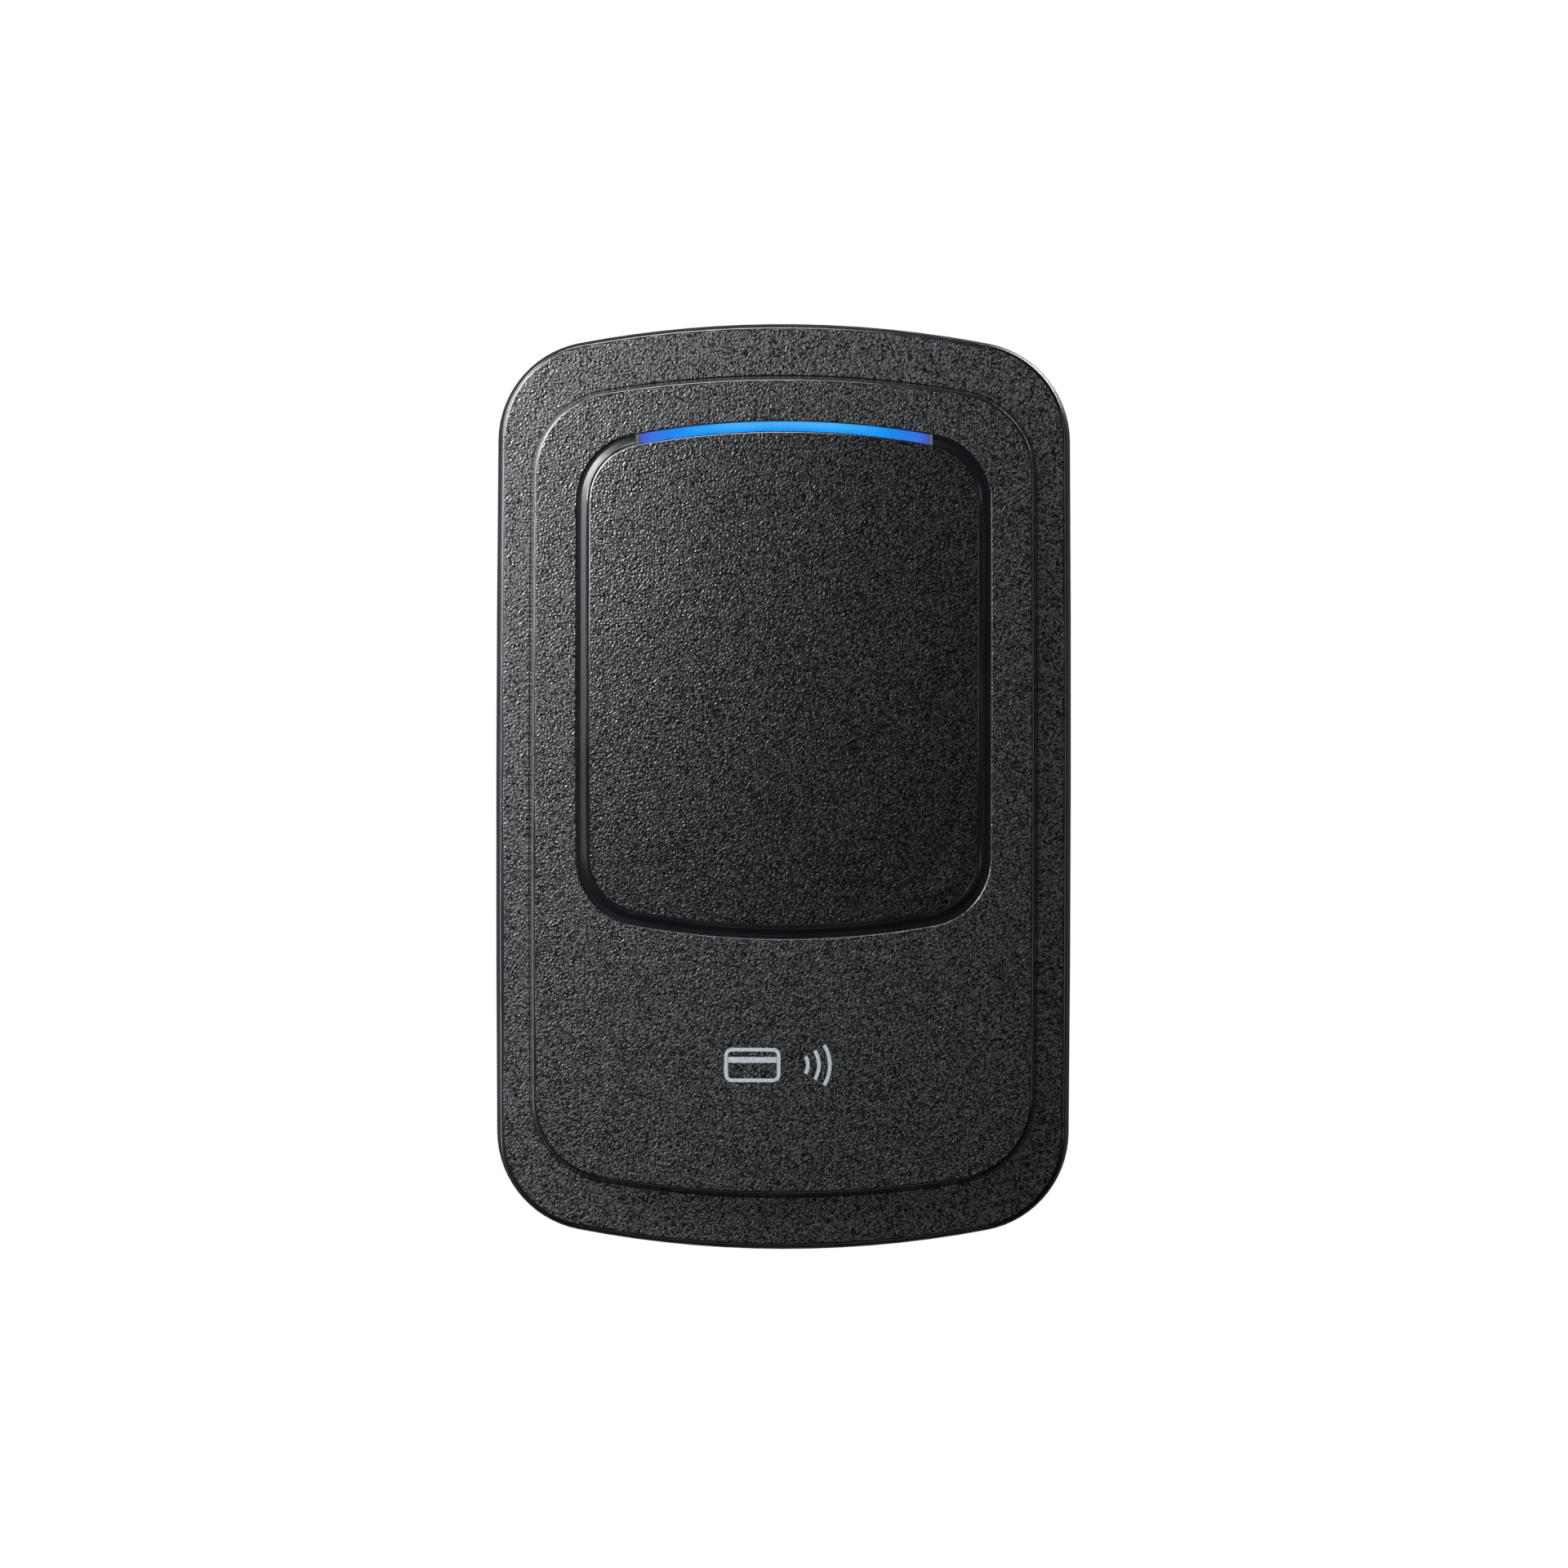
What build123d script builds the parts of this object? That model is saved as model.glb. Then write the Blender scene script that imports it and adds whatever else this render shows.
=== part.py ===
from build123d import *
import math
import os
from typing import NamedTuple

# Wall-mounted RFID card reader for a single-gang box, hung on a stamped steel bracket.
# Millimetres. The origin is the centre of the bracket's rear plane, which lies on the wall.
# +Z is up and the reader faces -Y, so a depth is how far a face stands out from the wall.

os.makedirs("parts", exist_ok=True)

# ---- driving dimensions -------------------------------------------------------------------------

# Whole reader
READER_WIDTH = 80.0
READER_HEIGHT = 128.8
BODY_WIDTH = 70.0
BODY_HEIGHT = 113.1
PAD_WIDTH = 53.66
PAD_LOW = -19.22
PAD_HIGH = 48.65
GROOVE_WIDTH = 56.74
GROOVE_LOW = -20.86
GROOVE_HIGH = 49.96

# Depths from the wall
PLATE_DEPTH = 1.2  # front of the bracket plate
BEZEL_REAR = 0.6
HOUSING_REAR = 6.6
HOUSING_FRONT = 8.4
SEAL_FRONT = 9.2
BEZEL_UNDERSIDE = 12.2
BOARD_REAR = 12.2
BOARD_FRONT = 13.8
FLANGE_APEX = 15.9
ANTENNA_REAR = 16.6
ANTENNA_FRONT = 17.4
DECK_UNDERSIDE = 18.3
DECK_APEX = 20.1
TRIM_APEX = 21.7
GUIDE_APEX = 21.95
RAMP_APEX = 22.03
RIM_APEX = 22.14
COVER_APEX = 22.2
PAD_APEX = 23.0

# Bow of the sides of every outline
SIDE_BOW = 5500.0

# Crown of the flange and body, and of the pad: radius across the width and along the height
BODY_CROWN = (420.0, 2200.0)
PAD_CROWN = (220.0, 700.0)

# Draft of the moulded sides, in degrees
BEZEL_DRAFT = 4.25
BODY_DRAFT = 6.0
PAD_DRAFT = 2.0

# Walls, gaps and fits
WALL = 2.2
COVER_WALL = 2.0
SEAM = 0.1  # all round the body, where it comes through the bezel
CLEARANCE = 0.1
RUNNING_FIT = 0.05
JOINT = 0.02  # between parts that are glued or pressed together

# Hinge of the hang-on bracket
PIVOT_DEPTH = 3.6
PIVOT_Z = 57.0
PIVOT_RADIUS = 1.0
HOOK_X = 12.0
HOOK_WIDTH = 8.0
TILT_LIMIT = 18.0  # degrees

# Standard fixing patterns on the bracket
GANG_SPACING = 83.3
FLUSH_SPACING = 60.0
FIXING_RADIUS = 2.0

# Locking set screw, M3, worked from below
LOCK_DEPTH = 3.8
LOCK_RADIUS = 1.5
LOCK_HOLE = 1.75
LOCK_END = -60.6
LOCK_LENGTH = 8.0
LOCK_TRAVEL = 3.0

# Tamper plunger
TAMPER_X = 19.0
TAMPER_Z = -30.0
TAMPER_RADIUS = 1.25
TAMPER_TRAVEL = 1.35

# Screws that close the case, hold the bezel and hold the board
CASE_SITES = [(x, z) for x in (-30.2, 30.2) for z in (-40.0, 0.0, 40.0)]
BEZEL_SITES = [(x, z) for x in (-26.0, 26.0) for z in (-56.9, 56.9)]
BOARD_SITES = [(x, z) for x in (-20.0, 20.0) for z in (-46.0, 46.0)]
STAKE_SITES = [(x, z) for x in (-24.2, 24.2) for z in (-13.0, 42.0)]


# ---- shapes shared by the parts -----------------------------------------------------------------


class Outline(NamedTuple):
    """Sides, top and bottom bowed outwards, round corners. The sides share one large bow."""

    half_width: float
    low: float
    high: float
    bow: float
    corner: float

    def inset(self, by):
        """The same outline, smaller by the given width all round."""
        return Outline(
            self.half_width - by, self.low + by, self.high - by, self.bow - by, self.corner - by
        )

    def face(self):
        middle = (self.high + self.low) / 2
        shape = Pos(0, self.high - self.bow) * Circle(self.bow)
        shape &= Pos(0, self.low + self.bow) * Circle(self.bow)
        for side in (-1, 1):
            shape &= Pos(side * (self.half_width - SIDE_BOW), middle) * Circle(SIDE_BOW)
        return fillet(shape.vertices(), self.corner)

    def bow_drop(self, x):
        """How far the top or bottom edge has fallen back at this distance from the middle."""
        return self.bow - math.sqrt(self.bow**2 - x**2)


READER = Outline(READER_WIDTH / 2, -READER_HEIGHT / 2, READER_HEIGHT / 2, 151.0, 13.95)
BODY = Outline(BODY_WIDTH / 2, -BODY_HEIGHT / 2, BODY_HEIGHT / 2, 149.0, 11.9)
GROOVE = Outline(GROOVE_WIDTH / 2, GROOVE_LOW, GROOVE_HIGH, 115.0, 9.3)
PAD = Outline(PAD_WIDTH / 2, PAD_LOW, PAD_HIGH, 111.6, 7.8)


def at_depth(depth):
    """Plane facing the user at this depth, with X to the right and Z up."""
    return Plane(origin=(0, -depth, 0), x_dir=(1, 0, 0), z_dir=(0, -1, 0))


def lean(draft, depth):
    """How far a drafted side has leaned in after this depth."""
    return depth * math.tan(math.radians(draft))


def prism(outline, start, end, draft=0.0):
    """An outline carried from one depth to another, its sides leaning in by the draft."""
    rear = at_depth(start) * outline.face()
    if not draft:
        return extrude(rear, amount=end - start)
    front = at_depth(end) * outline.inset(lean(draft, end - start)).face()
    return loft([rear.face(), front.face()], ruled=True)


def ring(outer, inner, start, end):
    """The wall between two outlines."""
    return prism(outer, start, end) - prism(inner, start - 1, end + 1)


def rod(x, z, radius, start, end):
    """Cylinder along the depth."""
    return Pos(x, -(start + end) / 2, z) * Rot(90, 0, 0) * Cylinder(radius, end - start)


def tube(x, z, outer, inner, start, end):
    """Hollow cylinder along the depth."""
    return rod(x, z, outer, start, end) - rod(x, z, inner, start - 1, end + 1)


def block(x, z, width, height, start, end):
    """Box given by its middle, its width and height, and its two depths."""
    return Pos(x, -(start + end) / 2, z) * Box(width, end - start, height)


def soft_block(x, z, width, height, start, end, corner):
    """Box with its four edges along the depth rounded."""
    return extrude(
        at_depth(start) * Pos(x, z) * RectangleRounded(width, height, corner), amount=end - start
    )


def post(x, depth, radius, low, high):
    """Cylinder along the height."""
    return Pos(x, -depth, (low + high) / 2) * Cylinder(radius, high - low)


def crown(apex, radii, height=0.0):
    """All that lies behind a doubly curved front, whose foremost point has this depth and height."""
    across, along = radii
    reach = 50.0
    rear = -10.0
    edge = apex - (across - math.sqrt(across**2 - reach**2))
    front = ThreePointArc((-reach, -edge), (0, -apex), (reach, -edge))
    back = Polyline((reach, -edge), (reach, -rear), (-reach, -rear), (-reach, -edge))
    profile = Plane.XY.offset(height) * make_face(front + back)
    axis = Axis((0, along - apex, height), (1, 0, 0))
    sweep = 2 * math.degrees(math.asin(2 * reach / along))
    return revolve(profile, axis, sweep).rotate(axis, -sweep / 2)


def crowned(outline, start, apex, radii, draft, height=0.0, edge=0.0):
    """Moulded block with drafted sides, a crowned front and an eased front edge."""
    solid = prism(outline, start, apex, draft) & crown(apex, radii, height)
    if edge:
        front = solid.faces().sort_by(Axis.Y)[0]
        solid = fillet(front.edges(), edge)
    return solid


def join(shapes):
    """Several solids as one group or, where they touch, one solid."""
    shapes = list(shapes)
    return shapes[0] + shapes[1:] if len(shapes) > 1 else shapes[0]


def group(shapes):
    """Separate solids kept apart in one node."""
    return Compound(children=list(shapes))


HEAD_EDGE = 0.4
DRIVER_SLOT = 0.45


def screw_head(x, z, radius, start, end, recess):
    """Pan head whose driver recess is open towards the lower depth."""
    head = rod(x, z, radius, start, end)
    rim = head.edges().filter_by(GeomType.CIRCLE).sort_by(Axis.Y)[-1]
    head = fillet(rim, HEAD_EDGE)
    depth = 0.6 * (end - start)
    arms = block(x, z, 2 * recess, DRIVER_SLOT, start - 1, start + depth)
    arms += block(x, z, DRIVER_SLOT, 2 * recess, start - 1, start + depth)
    return head - arms


def rear_screw(site, shaft, length, head, head_height):
    """Screw driven from behind, with its head on the rear face of the housing."""
    x, z = site
    top = screw_head(x, z, head, HOUSING_REAR - head_height, HOUSING_REAR, 0.6 * head)
    return top + rod(x, z, shaft, HOUSING_REAR, HOUSING_REAR + length)


# ---- bracket ------------------------------------------------------------------------------------

BRACKET = READER.inset(4.2)
WINDOW_WIDTH = 34.0
WINDOW_HEIGHT = 40.0
WINDOW_CORNER = 5.0
HOOK_INNER = PIVOT_RADIUS + 0.08
HOOK_OUTER = HOOK_INNER + PLATE_DEPTH
HOOK_TOP = 58.2
TAB_WIDTH = 16.0
TAB_DEPTH = 6.4
TAB_UPPER = BRACKET.low + PLATE_DEPTH
TAMPER_WINDOW = 3.0
EMBOSS = 0.6
WINDOW_RIM = 2.4
BEAD_X = 27.0
BEAD_WIDTH = 3.0
BEAD_LENGTH = 68.0
SLOT_SITES = [(x, z) for x in (-24.0, 24.0) for z in (-47.0, 47.0)]
SLOT_WIDTH = 4.2
SLOT_LENGTH = 8.0
SLOT_CORNER = 2.09
ARROW_Z = 52.0
ARROW_RADIUS = 2.2


def hook(x):
    """J-shaped tongue bent out of the plate, open upwards, that carries one pivot bar."""
    side = Plane(origin=(x - HOOK_WIDTH / 2, 0, 0), x_dir=(0, -1, 0), z_dir=(1, 0, 0))
    floor = PIVOT_Z - HOOK_OUTER
    # On this plane the first axis is the depth; the second is down, so heights are negated.
    centre = (PIVOT_DEPTH, -PIVOT_Z)
    run = Pos((PIVOT_DEPTH + PLATE_DEPTH / 2) / 2, -(floor + PLATE_DEPTH / 2)) * Rectangle(
        PIVOT_DEPTH - PLATE_DEPTH / 2, PLATE_DEPTH
    )
    bend = Pos(*centre) * (Circle(HOOK_OUTER) - Circle(HOOK_INNER))
    quarter = Pos(PIVOT_DEPTH + HOOK_OUTER / 2, -(PIVOT_Z - HOOK_OUTER / 2)) * Rectangle(
        HOOK_OUTER, HOOK_OUTER
    )
    leg_height = HOOK_TOP - PIVOT_Z
    leg = Pos(PIVOT_DEPTH + HOOK_INNER + PLATE_DEPTH / 2, -(PIVOT_Z + leg_height / 2)) * Rectangle(
        PLATE_DEPTH, leg_height
    )
    return extrude(side * (run + (bend & quarter) + leg), amount=HOOK_WIDTH)


def wall_bracket():
    plate = prism(BRACKET, 0, PLATE_DEPTH)
    embossed = PLATE_DEPTH + EMBOSS
    rim_width = WINDOW_WIDTH + 2 * WINDOW_RIM
    rim_height = WINDOW_HEIGHT + 2 * WINDOW_RIM
    plate += soft_block(0, 0, rim_width, rim_height, 1, embossed, WINDOW_CORNER + WINDOW_RIM)
    for x in (-BEAD_X, BEAD_X):
        plate += soft_block(x, 0, BEAD_WIDTH, BEAD_LENGTH, 1, embossed, 0.47 * BEAD_WIDTH)
    plate -= soft_block(0, 0, WINDOW_WIDTH, WINDOW_HEIGHT, -1, 2, WINDOW_CORNER)
    for spacing in (GANG_SPACING, FLUSH_SPACING):
        for z in (-spacing / 2, spacing / 2):
            plate -= rod(0, z, FIXING_RADIUS, -1, 2)
    for x, z in SLOT_SITES:
        plate -= soft_block(x, z, SLOT_WIDTH, SLOT_LENGTH, -1, 2, SLOT_CORNER)
    plate -= rod(TAMPER_X, TAMPER_Z, TAMPER_WINDOW, -1, 2)
    arrow = at_depth(-1) * Pos(0, ARROW_Z) * RegularPolygon(ARROW_RADIUS, 3, rotation=90)
    plate -= extrude(arrow, amount=3)
    tab = block(0, BRACKET.low + PLATE_DEPTH / 2, TAB_WIDTH, PLATE_DEPTH, 0, TAB_DEPTH)
    tab -= post(0, LOCK_DEPTH, LOCK_HOLE, BRACKET.low - 1, TAB_UPPER + 1)
    return plate + [tab, hook(-HOOK_X), hook(HOOK_X)]


NUT_OUTER = 2.4
NUT_HEIGHT = 2.4
NUT_INSET = 0.3


def lock_nut():
    """Threaded bush pressed into the bracket's lower tab."""
    bush = post(0, LOCK_DEPTH, NUT_OUTER, TAB_UPPER, TAB_UPPER + NUT_HEIGHT)
    spigot = post(0, LOCK_DEPTH, LOCK_HOLE, BRACKET.low + NUT_INSET, TAB_UPPER)
    bore = post(0, LOCK_DEPTH, LOCK_RADIUS + RUNNING_FIT, BRACKET.low - 1, TAB_UPPER + 5)
    return bush + spigot - bore


RETAINER_LOW = TAB_UPPER + NUT_HEIGHT + LOCK_TRAVEL + 0.05
RETAINER_THICKNESS = 0.7
RETAINER_RADIUS = 2.3
RETAINER_OPENING = 1.2
NECK_RADIUS = 1.1
SOCKET_RADIUS = 0.88
SOCKET_DEPTH = 1.6


def lock_screw():
    """Set screw turned out to lock the reader; a neck near its top carries the retaining ring."""
    shaft = post(0, LOCK_DEPTH, LOCK_RADIUS, LOCK_END, LOCK_END + LOCK_LENGTH)
    neck_low = RETAINER_LOW - RUNNING_FIT
    neck_high = RETAINER_LOW + RETAINER_THICKNESS + RUNNING_FIT
    neck = post(0, LOCK_DEPTH, LOCK_RADIUS + 1, neck_low, neck_high)
    neck -= post(0, LOCK_DEPTH, NECK_RADIUS, neck_low - 1, neck_high + 1)
    socket = extrude(RegularPolygon(SOCKET_RADIUS, 6), amount=SOCKET_DEPTH)
    return shaft - neck - Pos(0, -LOCK_DEPTH, LOCK_END) * socket


def screw_retainer():
    """Open ring in the neck of the set screw, which stops it at the nut."""
    low, high = RETAINER_LOW, RETAINER_LOW + RETAINER_THICKNESS
    washer = post(0, LOCK_DEPTH, RETAINER_RADIUS, low, high)
    washer -= post(0, LOCK_DEPTH, NECK_RADIUS + RUNNING_FIT, low - 1, high + 1)
    middle = LOCK_DEPTH + RETAINER_RADIUS
    opening = Box(RETAINER_OPENING, 2 * RETAINER_RADIUS, 2 * RETAINER_THICKNESS)
    return washer - Pos(0, -middle, (low + high) / 2) * opening


# ---- tamper plunger -----------------------------------------------------------------------------

COLLAR_REAR = 2.2
COLLAR_FRONT = 3.0
COLLAR_RADIUS = 2.2
CLIP_REAR = HOUSING_FRONT + TAMPER_TRAVEL + 0.05
CLIP_THICKNESS = 0.5
CLIP_RADIUS = 2.1
CLIP_OPENING = 1.2
CLIP_NECK = 0.8
PLUNGER_TIP = 0.5
PLUNGER_FRONT = 10.85
SPRING_RADIUS = 1.85
SPRING_WIRE = 0.2
SPRING_TURNS = 4


def tamper_plunger():
    """Pin that rests against the wall through the bracket and is pushed out by its spring."""
    shaft = rod(TAMPER_X, TAMPER_Z, TAMPER_RADIUS, 0, PLUNGER_FRONT)
    tip = shaft.edges().filter_by(GeomType.CIRCLE).sort_by(Axis.Y)[-1]
    shaft = fillet(tip, PLUNGER_TIP)
    collar = rod(TAMPER_X, TAMPER_Z, COLLAR_RADIUS, COLLAR_REAR, COLLAR_FRONT)
    groove = tube(
        TAMPER_X, TAMPER_Z, TAMPER_RADIUS + 1, CLIP_NECK, CLIP_REAR, CLIP_REAR + CLIP_THICKNESS
    )
    return shaft + collar - groove


def tamper_clip():
    """Open spring clip that keeps the plunger in the housing."""
    front = CLIP_REAR + CLIP_THICKNESS
    clip = tube(TAMPER_X, TAMPER_Z, CLIP_RADIUS, CLIP_NECK + JOINT, CLIP_REAR, front)
    middle = TAMPER_Z + CLIP_RADIUS
    return clip - block(TAMPER_X, middle, CLIP_OPENING, 2 * CLIP_RADIUS, CLIP_REAR - 1, front + 1)


def tamper_spring():
    """Compressed coil between the plunger's collar and the housing."""
    length = HOUSING_REAR - COLLAR_FRONT - 2 * (SPRING_WIRE + JOINT)
    path = Helix(pitch=length / SPRING_TURNS, height=length, radius=SPRING_RADIUS)
    section = Plane(origin=path @ 0, z_dir=path % 0) * Circle(SPRING_WIRE)
    coil = sweep(section, path=path, is_frenet=True)
    start = COLLAR_FRONT + SPRING_WIRE + JOINT
    return Pos(TAMPER_X, -start, TAMPER_Z) * Rot(90, 0, 0) * coil


# ---- bezel --------------------------------------------------------------------------------------

LUG_RADIUS = 1.6
LUG_THICKNESS = 2.0
LUG_GAP = 0.5
WEB_REAR = PIVOT_DEPTH - 0.6  # set forward, to pass the plate's top edge in a full tilt
WEB_FRONT = PIVOT_DEPTH + LUG_RADIUS
BEZEL_EDGE = 0.6
BOSS_RADIUS = 2.4
BEZEL_SHAFT = 0.9
BEZEL_PILOT = 4.1  # depth of the pilot hole in a boss
MERGE = 0.5  # how far one shape is carried into another that it grows from


def pivot_bar(x):
    """Round bar between two lugs, which sits in one hook of the bracket."""
    lugs = []
    inner = HOOK_WIDTH / 2 + LUG_GAP
    outermost = HOOK_X + inner + LUG_THICKNESS
    top = READER.high - READER.bow_drop(outermost) - WALL + MERGE
    for side in (-1, 1):
        lug_x = x + side * (inner + LUG_THICKNESS / 2)
        eye = Pos(lug_x, -PIVOT_DEPTH, PIVOT_Z) * Rot(0, 90, 0) * Cylinder(LUG_RADIUS, LUG_THICKNESS)
        web = block(
            lug_x, (PIVOT_Z + top) / 2, LUG_THICKNESS, top - PIVOT_Z, WEB_REAR, WEB_FRONT
        )
        lugs += [eye, web]
    bar = Pos(x, -PIVOT_DEPTH, PIVOT_Z) * Rot(0, 90, 0) * Cylinder(PIVOT_RADIUS, 2 * inner + 1)
    return join([bar, *lugs])


def rim_bevel():
    """Wedge taken off the top of the rear rim, so that the tilted reader clears the wall."""
    reach = PIVOT_DEPTH - CLEARANCE
    wedge = Pos(0, reach + 10, 0) * Box(2 * READER_WIDTH, 20, 60)
    return Pos(0, -PIVOT_DEPTH, PIVOT_Z) * Rot(TILT_LIMIT, 0, 0) * wedge


def outer_bezel():
    shell = crowned(READER, BEZEL_REAR, FLANGE_APEX, BODY_CROWN, BEZEL_DRAFT, edge=BEZEL_EDGE)
    shell -= prism(READER.inset(WALL), BEZEL_REAR, BEZEL_UNDERSIDE, BEZEL_DRAFT)
    shell -= prism(BODY.inset(-SEAM), BEZEL_UNDERSIDE - 1, FLANGE_APEX + 1)
    for x, z in BEZEL_SITES:
        shell += rod(x, z, BOSS_RADIUS, HOUSING_FRONT, BEZEL_UNDERSIDE + MERGE)
    for x, z in BEZEL_SITES:
        end = HOUSING_FRONT + BEZEL_PILOT
        shell -= rod(x, z, BEZEL_SHAFT + RUNNING_FIT, HOUSING_FRONT - 1, end)
    shell = shell + pivot_bar(-HOOK_X) + pivot_bar(HOOK_X)
    shell -= post(0, LOCK_DEPTH, LOCK_HOLE, READER.low - 1, READER.low + 5)
    return shell - rim_bevel()


# ---- body, pad and light bar --------------------------------------------------------------------

SKIRT_FRONT = 14.4  # where the body's sides start to lean in
COVER_EDGE = 0.5
LIP_EDGE = 0.2
CASE_BOSS = 3.0
INSERT_RADIUS = 1.8
INSERT_LENGTH = 4.0
CASE_SHAFT = 1.2
CASE_PILOT = 6.5
STAKE_RADIUS = 0.9
STAKE_HEAD = 1.5
STAKE_HEIGHT = 0.5
GUIDE_HALF_LENGTH = 20.25
PAD_EDGE = 0.22
LEDGE_WIDTH = 2.3  # of the trim's flat part that the pad's rim covers
PAD_SPIGOT = PAD.inset(LEDGE_WIDTH + CLEARANCE)
SPIGOT_OVERLAP = 0.4
ADHESIVE_INSET = 0.5
ADHESIVE = 0.1
GUIDE_REAR = 18.2
GUIDE_CUT = 8.0
STEM_INSET = 0.4
RAMP_WIDTH = 1.2
RAMP_RUN = 1.05
RAMP_FALL = 0.42
RIM_WIDTH = 0.32
RIM_RUN = 0.2
RIM_FALL = 0.18


def groove_segment(outer, inner, half_length, start, end):
    """The piece of the groove's ring that lies under the light bar."""
    top = (GROOVE_HIGH + PAD_HIGH) / 2
    return ring(outer, inner, start, end) & block(0, top, 2 * half_length, 12, start, end)


def front_cover():
    """Raised body: a shell whose front has a shallow pocket for the trim, light bar and pad."""
    skirt = prism(BODY, SEAL_FRONT, SKIRT_FRONT)
    top = crowned(BODY, SKIRT_FRONT, COVER_APEX, BODY_CROWN, BODY_DRAFT, edge=COVER_EDGE)
    shell = skirt + top
    shell -= prism(BODY.inset(COVER_WALL), SEAL_FRONT - 1, DECK_UNDERSIDE)
    pocket = prism(GROOVE, DECK_APEX - 3, COVER_APEX + 1) - crown(DECK_APEX, BODY_CROWN)
    shell -= pocket
    front = shell.faces().sort_by(Axis.Y)[0]
    shell = fillet([edge for wire in front.inner_wires() for edge in wire.edges()], LIP_EDGE)
    root = DECK_UNDERSIDE + MERGE / 2
    for x, z in CASE_SITES:
        shell += rod(x, z, CASE_BOSS, HOUSING_FRONT, root)
    for x, z in STAKE_SITES:
        shell += rod(x, z, STAKE_RADIUS, ANTENNA_REAR - STAKE_HEIGHT, root)
        shell += rod(x, z, STAKE_HEAD, ANTENNA_REAR - STAKE_HEIGHT, ANTENNA_REAR - JOINT)
        shell += rod(x, z, STAKE_HEAD, ANTENNA_FRONT + JOINT, root)
    for x, z in CASE_SITES:
        shell -= rod(x, z, INSERT_RADIUS, HOUSING_FRONT - 1, HOUSING_FRONT + CASE_PILOT)
    return shell - groove_segment(
        GROOVE.inset(STEM_INSET - CLEARANCE),
        PAD.inset(CLEARANCE - STEM_INSET),
        GUIDE_HALF_LENGTH - 1 + CLEARANCE,
        DECK_UNDERSIDE - 2,
        DECK_APEX + 1,
    )


def sloped_ring(width, apex, run, fall):
    """Ring against the pad whose front falls away from it on the outside."""
    blank = ring(PAD.inset(-width), PAD.inset(-JOINT), DECK_APEX - 3, COVER_APEX + 1)
    blank &= crown(apex, BODY_CROWN)
    front = blank.faces().sort_by(Axis.Y)[0]
    return chamfer(front.outer_wire().edges(), run, fall, reference=front)


def groove_trim():
    """Glossy strip in the groove, rising towards the pad and interrupted by the light bar."""
    strip = ring(GROOVE.inset(RUNNING_FIT), PAD.inset(LEDGE_WIDTH), DECK_APEX - 3, TRIM_APEX + 1)
    strip = strip & crown(TRIM_APEX, BODY_CROWN)
    strip += sloped_ring(RAMP_WIDTH, RAMP_APEX, RAMP_RUN, RAMP_FALL)
    strip += sloped_ring(RIM_WIDTH, RIM_APEX, RIM_RUN, RIM_FALL)
    opening = 2 * (GUIDE_HALF_LENGTH + CLEARANCE)
    strip -= block(0, GROOVE_HIGH, opening, GUIDE_CUT, DECK_APEX - 4, TRIM_APEX + 2)
    return strip - crown(DECK_APEX + JOINT, BODY_CROWN)


def light_guide():
    """Translucent bar that fills the top of the groove and reaches back to the lamps."""
    bar = groove_segment(
        GROOVE.inset(RUNNING_FIT),
        PAD.inset(-RUNNING_FIT),
        GUIDE_HALF_LENGTH,
        DECK_APEX - 2,
        GUIDE_APEX,
    )
    layer = crown(GUIDE_APEX, BODY_CROWN) - crown(DECK_APEX + JOINT, BODY_CROWN)
    stem = groove_segment(
        GROOVE.inset(STEM_INSET),
        PAD.inset(-STEM_INSET),
        GUIDE_HALF_LENGTH - 1,
        GUIDE_REAR,
        DECK_APEX,
    )
    return (bar & layer) + stem


def pad_height():
    """Height of the pad's middle, where it stands out furthest."""
    return (PAD_LOW + PAD_HIGH) / 2


def reading_pad():
    """Crowned pad that a card is held against, glued to the deck through the ring of the trim."""
    cap = crowned(PAD, DECK_APEX - 2, PAD_APEX, PAD_CROWN, PAD_DRAFT, pad_height(), PAD_EDGE)
    cap -= crown(TRIM_APEX + JOINT, BODY_CROWN)
    spigot = prism(PAD_SPIGOT, DECK_APEX - 2, PAD_APEX - 1)
    spigot &= crown(TRIM_APEX + SPIGOT_OVERLAP, BODY_CROWN)
    return cap + (spigot - crown(DECK_APEX + ADHESIVE + 2 * JOINT, BODY_CROWN))


def pad_adhesive():
    """Thin adhesive sheet between the pad and the deck."""
    sheet = prism(PAD_SPIGOT.inset(ADHESIVE_INSET), DECK_APEX - 2, DECK_APEX + 1)
    sheet &= crown(DECK_APEX + JOINT + ADHESIVE, BODY_CROWN)
    return sheet - crown(DECK_APEX + JOINT, BODY_CROWN)


# ---- rear housing and seals ---------------------------------------------------------------------

HOUSING = READER.inset(3.3)
HOUSING_LIP = BODY.inset(2.3)
HOUSING_LIP_WIDTH = 1.2
HOUSING_LIP_HEIGHT = 1.6
STANDOFF_RADIUS = 2.6
GROMMET_NECK = 5.0
GROMMET_BORE = 3.2
GROMMET_FLANGE = 6.4
GROMMET_THICKNESS = 1.0
GROMMET_EDGE = 0.4
SEAL_WIDTH = 1.4
SEAL = BODY.inset(CLEARANCE)
SPRING_SEAT = 2.4
HEAD_POCKET = 2.7
RIB_WIDTH = 1.2
RIB_REAR = 5.4
COLLAR_REACH = 5.0
COLLAR_WALL = 1.0
CROSS_RIB_Z = 24.0
LONG_RIB_X = 13.0
LONG_RIB_LENGTH = 90.0
HOOK_GAP = 42.0  # in the rim rib, for the hooks
TAB_GAP = 24.0  # in the rim rib, for the tab and at both ends
SCREW_HOLE = 1.4
BOARD_PILOT = 0.9


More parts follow.
